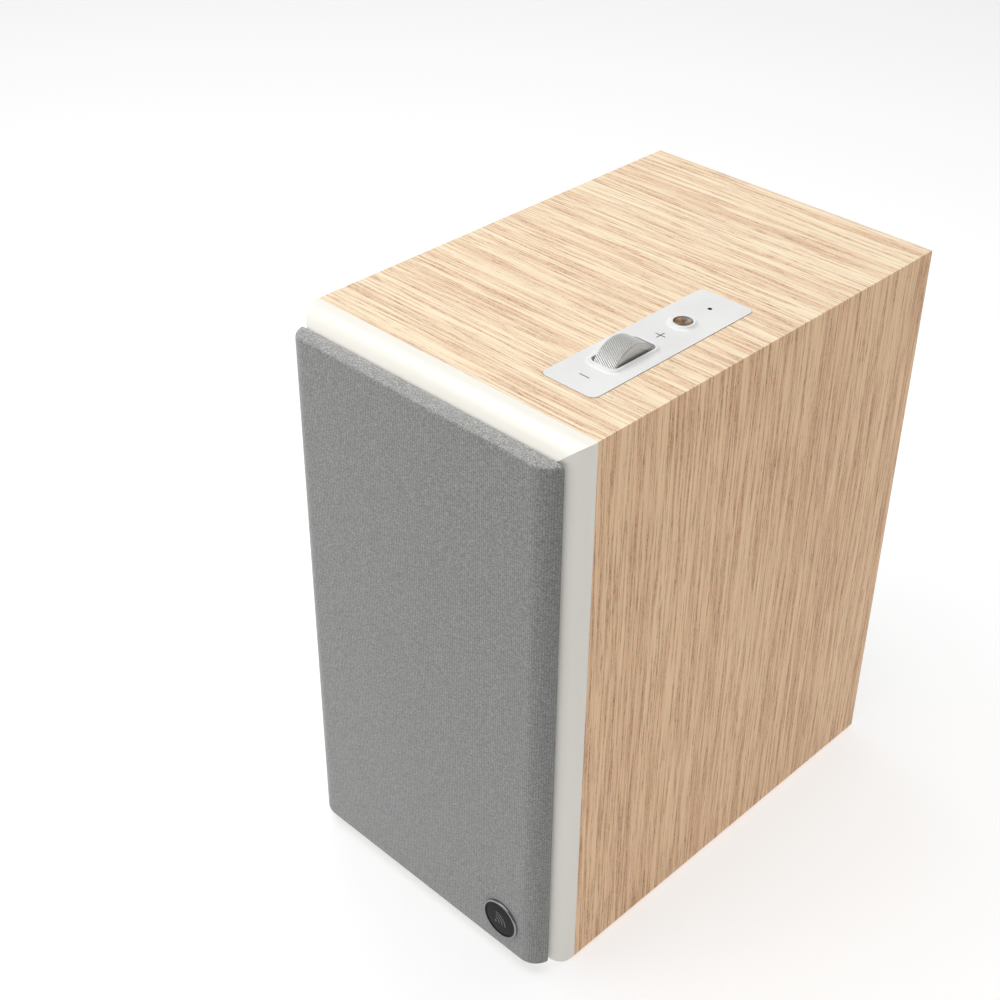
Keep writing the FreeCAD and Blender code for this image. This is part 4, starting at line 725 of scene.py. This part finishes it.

# %% [markdown]
# ## The push button
# The button is a shallow dish of copper-coloured metal, turned on a lathe. The tool leaves very
# fine rings, and light glances off them in bright and dark wedges. The rings are noise of the
# distance from the middle. The wedges are painted reflection: a slow change of shade round it, painted
# into the colour.


# %% Spun copper
def make_copper():
    copper = Finish("spun_copper")
    x, y, z = copper.place()
    dx = x - hub.x
    dy = y - button_y
    from_middle = (dx**2 + dy**2) ** 0.5
    turn = copper.node("Math", {"operation": "ARCTAN2"}, {0: dy, 1: dx})
    rings = copper.noise(copper.point(from_middle * 9000.0, 0.0, 0.0), detail=1.0)
    # Painted reflection: bright and dark wedges round the middle and a pale glint are painted into the
    # colour.
    painted_reflection_wedges = copper.wave(turn * 2.0 + 0.9) * 0.6 + copper.wave(turn * 5.0) * 0.4
    base = copper.mix(copper.between(painted_reflection_wedges, 0.15, 0.75), colour("#6F645D"), colour("#BF8F6C"))
    glint = copper.between(copper.wave(turn * 2.0 - 0.6), 0.80, 0.97)
    base = copper.mix(glint * 0.7, base, colour("#D6CEC6"))
    base = copper.mix(copper.between(rings, 0.3, 0.8) * 0.25, base, colour("#6E5A4D"))
    rim_shade = copper.between(from_middle, 0.0037, 0.0044)
    base = copper.mix(rim_shade * 0.6, base, colour("#3F3733"))
    return copper.shade(base, 0.34 + 0.12 * (rings - 0.5), 0.8, normal=copper.bump(rings, 0.000008, 0.4))


wear(make_copper(), "button_cap")
print("The button's middle is at y =", round(button_y, 4))

# %% [markdown]
# Under the button sits its return spring, a coil of steel wire that stands on the switch. It has
# to shorten when the button goes down. It is made here by screwing a small circle round the
# button's axis.

# %% Coil the spring
spring_low, spring_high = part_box("button_spring")
spring_wire = 0.0004
spring_turns = 6
coil_radius = (spring_high.x - spring_low.x - spring_wire) / 2
coil_height = spring_high.z - spring_low.z - spring_wire
fresh()
bpy.ops.mesh.primitive_circle_add(
    vertices=8, radius=spring_wire / 2, location=(coil_radius, 0, 0), rotation=facing_front
)
coil = bpy.context.object
bpy.ops.object.transform_apply(location=True, rotation=True, scale=True)
use_modifier(
    coil,
    "SCREW",
    "winding",
    angle=2 * math.pi,
    iterations=spring_turns,
    screw_offset=coil_height / spring_turns,
    steps=24,
    render_steps=24,
)
work_on(coil)
seal(0.000002)
bpy.ops.mesh.fill_holes(sides=0)
seal(0.000002)
fresh()
coil.location = (hub.x, button_y, spring_low.z + spring_wire / 2)
settle(coil, "return_spring", steel, "cabinet")
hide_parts("button_spring")
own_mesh(coil)

# %% [markdown]
# ## The badge
# A black disc sits in the bright rim at the grille's corner. It carries a plain mark of three
# arcs and a dot, like sound that spreads. The disc starts as a cylinder whose front is inset
# and pushed out a little, so that it is slightly crowned. Each arc is a flattened ring that two
# bisecting planes cut down to a quarter.

# %% Crown the disc
disc_low, disc_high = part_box("badge_disc")
badge = (disc_low + disc_high) / 2
disc_radius = (disc_high.x - disc_low.x) / 2
fresh()
disc_depth = disc_high.y - disc_low.y
bpy.ops.mesh.primitive_cylinder_add(
    vertices=96, radius=disc_radius, depth=disc_depth, location=badge, rotation=facing_front
)
disc = bpy.context.object
choose(disc)
bpy.ops.object.transform_apply(location=True, rotation=True, scale=True)
work_on(disc)
pick(disc, "faces", lambda middle, normal: normal.y < -0.9)
for inset, push in ((0.0012, 0.00012), (0.003, 0.0001), (0.003, 0.00004)):
    bpy.ops.mesh.inset(thickness=inset)
    bpy.ops.transform.translate(value=(0, -push, 0))
lacquer = make_plain("badge_lacquer", colour("#0B0B0C"), 0.42, 0.08, Specular_IOR_Level=0.15)
settle(disc, "badge_face", lacquer, "grille")
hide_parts("badge_disc")


# %% The badge's rim
blackened = 0.00065


def make_rim():
    """Bright metal, blackened inside by the lacquer that the disc was dipped in."""
    rim = Finish("badge_rim_metal")
    x, y, z = rim.place()
    from_middle = ((x - badge.x) ** 2 + (z - badge.z) ** 2) ** 0.5
    rings = rim.noise(rim.point(from_middle * 4000.0, 0.0, 0.0), detail=1.0)
    line = disc_radius + blackened
    inner = 1 - rim.between(from_middle, line - 0.0001, line + 0.0001)
    base = rim.mix(rim.between(rings, 0.3, 0.75) * 0.3, colour("#9A9B9E"), colour("#838487"))
    base = rim.mix(inner, base, colour("#101011"))
    return rim.shade(base, 0.24 + 0.3 * inner, 1 - inner, normal=rim.bump(rings, 0.000004, 0.2))


wear(make_rim(), "badge_rim")
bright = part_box("badge_rim")[1].x - badge.x - disc_radius - blackened
print("The rim shows", round(1000 * bright, 2), "mm of bright metal")


# %% Add the mark
def quarter_ring(radius, width):
    """A flat ring in front of the badge, cut to its upper right quarter."""
    fresh()
    bpy.ops.mesh.primitive_torus_add(
        major_radius=radius,
        minor_radius=width / 2,
        major_segments=72,
        minor_segments=8,
        rotation=facing_front,
    )
    ring = bpy.context.object
    ring.scale = (1, 1, 0.25)
    ring.location = mark_middle
    bpy.ops.object.transform_apply(location=True, rotation=True, scale=True)
    work_on(ring)
    for normal in ((-1, 0, 0), (0, 0, -1)):
        pick_all()
        bpy.ops.mesh.bisect(
            plane_co=tuple(mark_middle), plane_no=normal, clear_outer=True, use_fill=True
        )
    fresh()
    return ring


mark_middle = Vector((badge.x - 0.0026, disc_low.y - 0.00026, badge.z - 0.0026))
line_width = 0.0007
pieces = [quarter_ring(radius, line_width) for radius in (0.0024, 0.0044, 0.0064)]
bpy.ops.mesh.primitive_uv_sphere_add(
    segments=24, ring_count=12, radius=line_width, location=mark_middle
)
dot = bpy.context.object
dot.scale = (1, 0.3, 1)
fresh()
for piece in pieces + [dot]:
    piece.select_set(True)
bpy.context.view_layer.objects.active = dot
bpy.ops.object.join()
mark_grey = make_metal("mark_grey", colour("#6A6B6E"), 0.40, (900, 900, 900), metal=0.6)
settle(dot, "badge_mark", mark_grey, "grille")

# %% [markdown]
# ## The drivers
# Behind the grille are a woofer and a tweeter. The woofer's cone is pressed from woven fibre, so
# its finish is a fine weave, as it looks from the front. The tweeter's dome is coated silk, and
# the spider that centres the woofer's coil is a stiffened yellow cloth.


# %% Woven cone, silk and spider
def make_weave(name, dark, pale, pitch, rough, depth):
    """Two sets of threads over and under each other, seen from the front."""
    weave = Finish(name)
    x, y, z = weave.place()
    step = 2 * math.pi / pitch
    warp = weave.wave((x + z) * step)
    weft = weave.wave((x - z) * step)
    over = weave.between(warp - weft, -0.25, 0.25)
    fuzz = weave.noise(weave.node("TexCoord", out="Object"), scale=2200.0)
    base = weave.mix(over * 0.7 + 0.3 * fuzz, dark, pale)
    return weave.shade(base, rough + 0.1 * (fuzz - 0.5), normal=weave.bump(over + 0.4 * fuzz, depth, 0.6))


for name, dark, pale, pitch, rough, depth, pieces in (
    ("woven_fibre", "#1B1B1C", "#3B3A38", 0.0022, 0.42, 0.00012, ["woofer_cone"]),
    ("coated_silk", "#1D1D20", "#2C2C30", 0.0005, 0.34, 0.00003, ["tweeter_dome", "tweeter_edge"]),
    ("spider_cloth", "#8A6A32", "#B58F4E", 0.0010, 0.75, 0.00010, ["woofer_spider"]),
):
    wear(make_weave(name, colour(dark), colour(pale), pitch, rough, depth), *pieces)
wear(make_plain("cap_black", colour("#1A1A1B"), 0.38, 0.2), "woofer_dust_cap")
print("Finishes:", len(bpy.data.materials))

# %% [markdown]
# ## The woofer's surround
# A half roll of rubber joins the cone to its basket. Its outer lip stays with the basket, its
# inner lip goes in and out with the cone, and the roll bends between them. The ring is made as
# equal sectors. One sector is half a circle with a lip drawn out from each end, spun round the axis.

# %% Spin one sector
ring_low, ring_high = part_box("woofer_surround")
axle_point = Vector(((ring_low.x + ring_high.x) / 2, 0.0, (ring_low.z + ring_high.z) / 2))
rubber = 0.0007
lip = 0.003
roll_half = 0.00371
roll_rise = 0.0032
sector_count = 24
lip_level = ring_high.y - rubber / 2
roll_radius = (ring_high.x - ring_low.x) / 2 - lip - roll_half + rubber * 0.3
roll_point = axle_point + Vector((roll_radius, lip_level, 0.0))
fresh()
bpy.ops.mesh.primitive_circle_add(vertices=32, radius=roll_half, location=roll_point)
sector = bpy.context.object
work_on(sector)
pick_all()
bpy.ops.mesh.bisect(plane_co=tuple(roll_point), plane_no=(0, 1, 0), clear_outer=True)
pick_all()
bpy.ops.transform.resize(value=(1.0, roll_rise / roll_half, 1.0), center_override=tuple(roll_point))
for sign in (1, -1):
    pick(
        sector,
        "verts",
        lambda spot, normal: abs(spot.y - lip_level) < 1e-5 and sign * (spot.x - roll_point.x) > 0,
    )
    reach_out = (sign * (lip - rubber * 0.3), 0, 0)
    bpy.ops.mesh.extrude_region_move(TRANSFORM_OT_translate={"value": reach_out})
pick_all()
sector_angle = 2 * math.pi / sector_count
bpy.ops.mesh.spin(steps=6, angle=sector_angle, center=tuple(axle_point), axis=(0, 1, 0))
seal(0.000002)
fresh()
use_modifier(sector, "SOLIDIFY", "rubber", thickness=rubber, offset=0.0)
bpy.ops.object.transform_apply(location=True, rotation=True, scale=True)

# %% Copy the sectors
surround_rubber = make_plain("surround_rubber", colour("#161617"), 0.50, 0.2, size=1800.0)
to_sector = Matrix.Translation(axle_point)
for number in range(sector_count):
    part = sector.copy()
    part.data = sector.data.copy()
    bpy.context.scene.collection.objects.link(part)
    turn = Matrix.Rotation(-number * sector_angle, 4, "Y")
    part.data.transform(to_sector @ turn @ to_sector.inverted())
    settle(part, "surround_%02d" % number, surround_rubber, None)
    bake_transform(part)
    if number == 0:
        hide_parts("woofer_surround")
bpy.data.objects.remove(sector)
print("The surround has", sector_count, "sectors")


# %% [markdown]
# ## The wadding
# A pad of wadding lines each side wall. It is soft, so its faces swell between where they are held
# and its edges are round. A box is subdivided, its corners are eased by a Subdivision Surface, and
# a cloud texture pushes the surface in and out.

# %% Fluff the pads
def make_felt():
    felt = Finish("white_felt")
    where = felt.node("TexCoord", out="Object")
    fluff = felt.noise(where, scale=420.0, detail=4.0, roughness=0.7)
    clumps = felt.noise(where, scale=45.0, detail=3.0)
    base = felt.mix(felt.between(fluff, 0.3, 0.7), colour("#B9B8B2"), colour("#E4E3DF"))
    return felt.shade(base, 0.95, normal=felt.bump(fluff + clumps, 0.0012, 0.9), Sheen_Weight=0.4)


felt = make_felt()
pad_low, pad_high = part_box("damping_pads")
pad_middle = (pad_low + pad_high) / 2
pad_thickness = 0.010
swell = 0.003
edge_swell = 0.004
clouds = bpy.data.textures.new("pad_clouds", "CLOUDS")
clouds.noise_scale = 0.022
for name, wall_x, sign in (("left_pad", pad_low.x, 1), ("right_pad", pad_high.x, -1)):
    fresh()
    middle = Vector((wall_x + sign * pad_thickness / 2, pad_middle.y, pad_middle.z))
    extent = pad_high - pad_low
    size = Vector((pad_thickness - swell, extent.y - edge_swell, extent.z - edge_swell))
    bpy.ops.mesh.primitive_cube_add(size=1.0, location=middle, scale=size)
    pad = bpy.context.object
    bpy.ops.object.transform_apply(location=False, rotation=False, scale=True)
    work_on(pad)
    pick_all()
    bpy.ops.mesh.bevel(offset=0.003, segments=2, affect="EDGES", offset_type="OFFSET")
    pick_all()
    bpy.ops.mesh.subdivide(number_cuts=11)
    fresh()
    use_modifier(pad, "SUBSURF", "ease", levels=1, render_levels=1)
    fluff = {"texture": clouds, "texture_coords": "LOCAL", "strength": swell, "mid_level": 0.5}
    use_modifier(pad, "DISPLACE", "fluff", **fluff)
    settle(pad, name, felt, "cabinet", 80.0)
    if name == "left_pad":
        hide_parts("damping_pads")

# %% [markdown]
# ## The floor's finish
# The floor is a plain matt sheet, with the slightest unevenness so that it isn't a flat colour.


# %% Pale floor
def make_floor():
    pale = Finish("pale_floor")
    slow = pale.noise(pale.node("TexCoord", out="Object"), scale=3.0, detail=3.0)
    base = pale.mix(slow * 0.3, colour("#BEBEBE"), colour("#BABABA"))
    glow = {"Emission_Color": (1, 1, 1, 1), "Emission_Strength": 0.60}
    return pale.shade(base, 0.9, normal=pale.bump(slow, 0.0005, 0.05), **glow)


floor.data.materials.append(make_floor())
print("The floor is done")
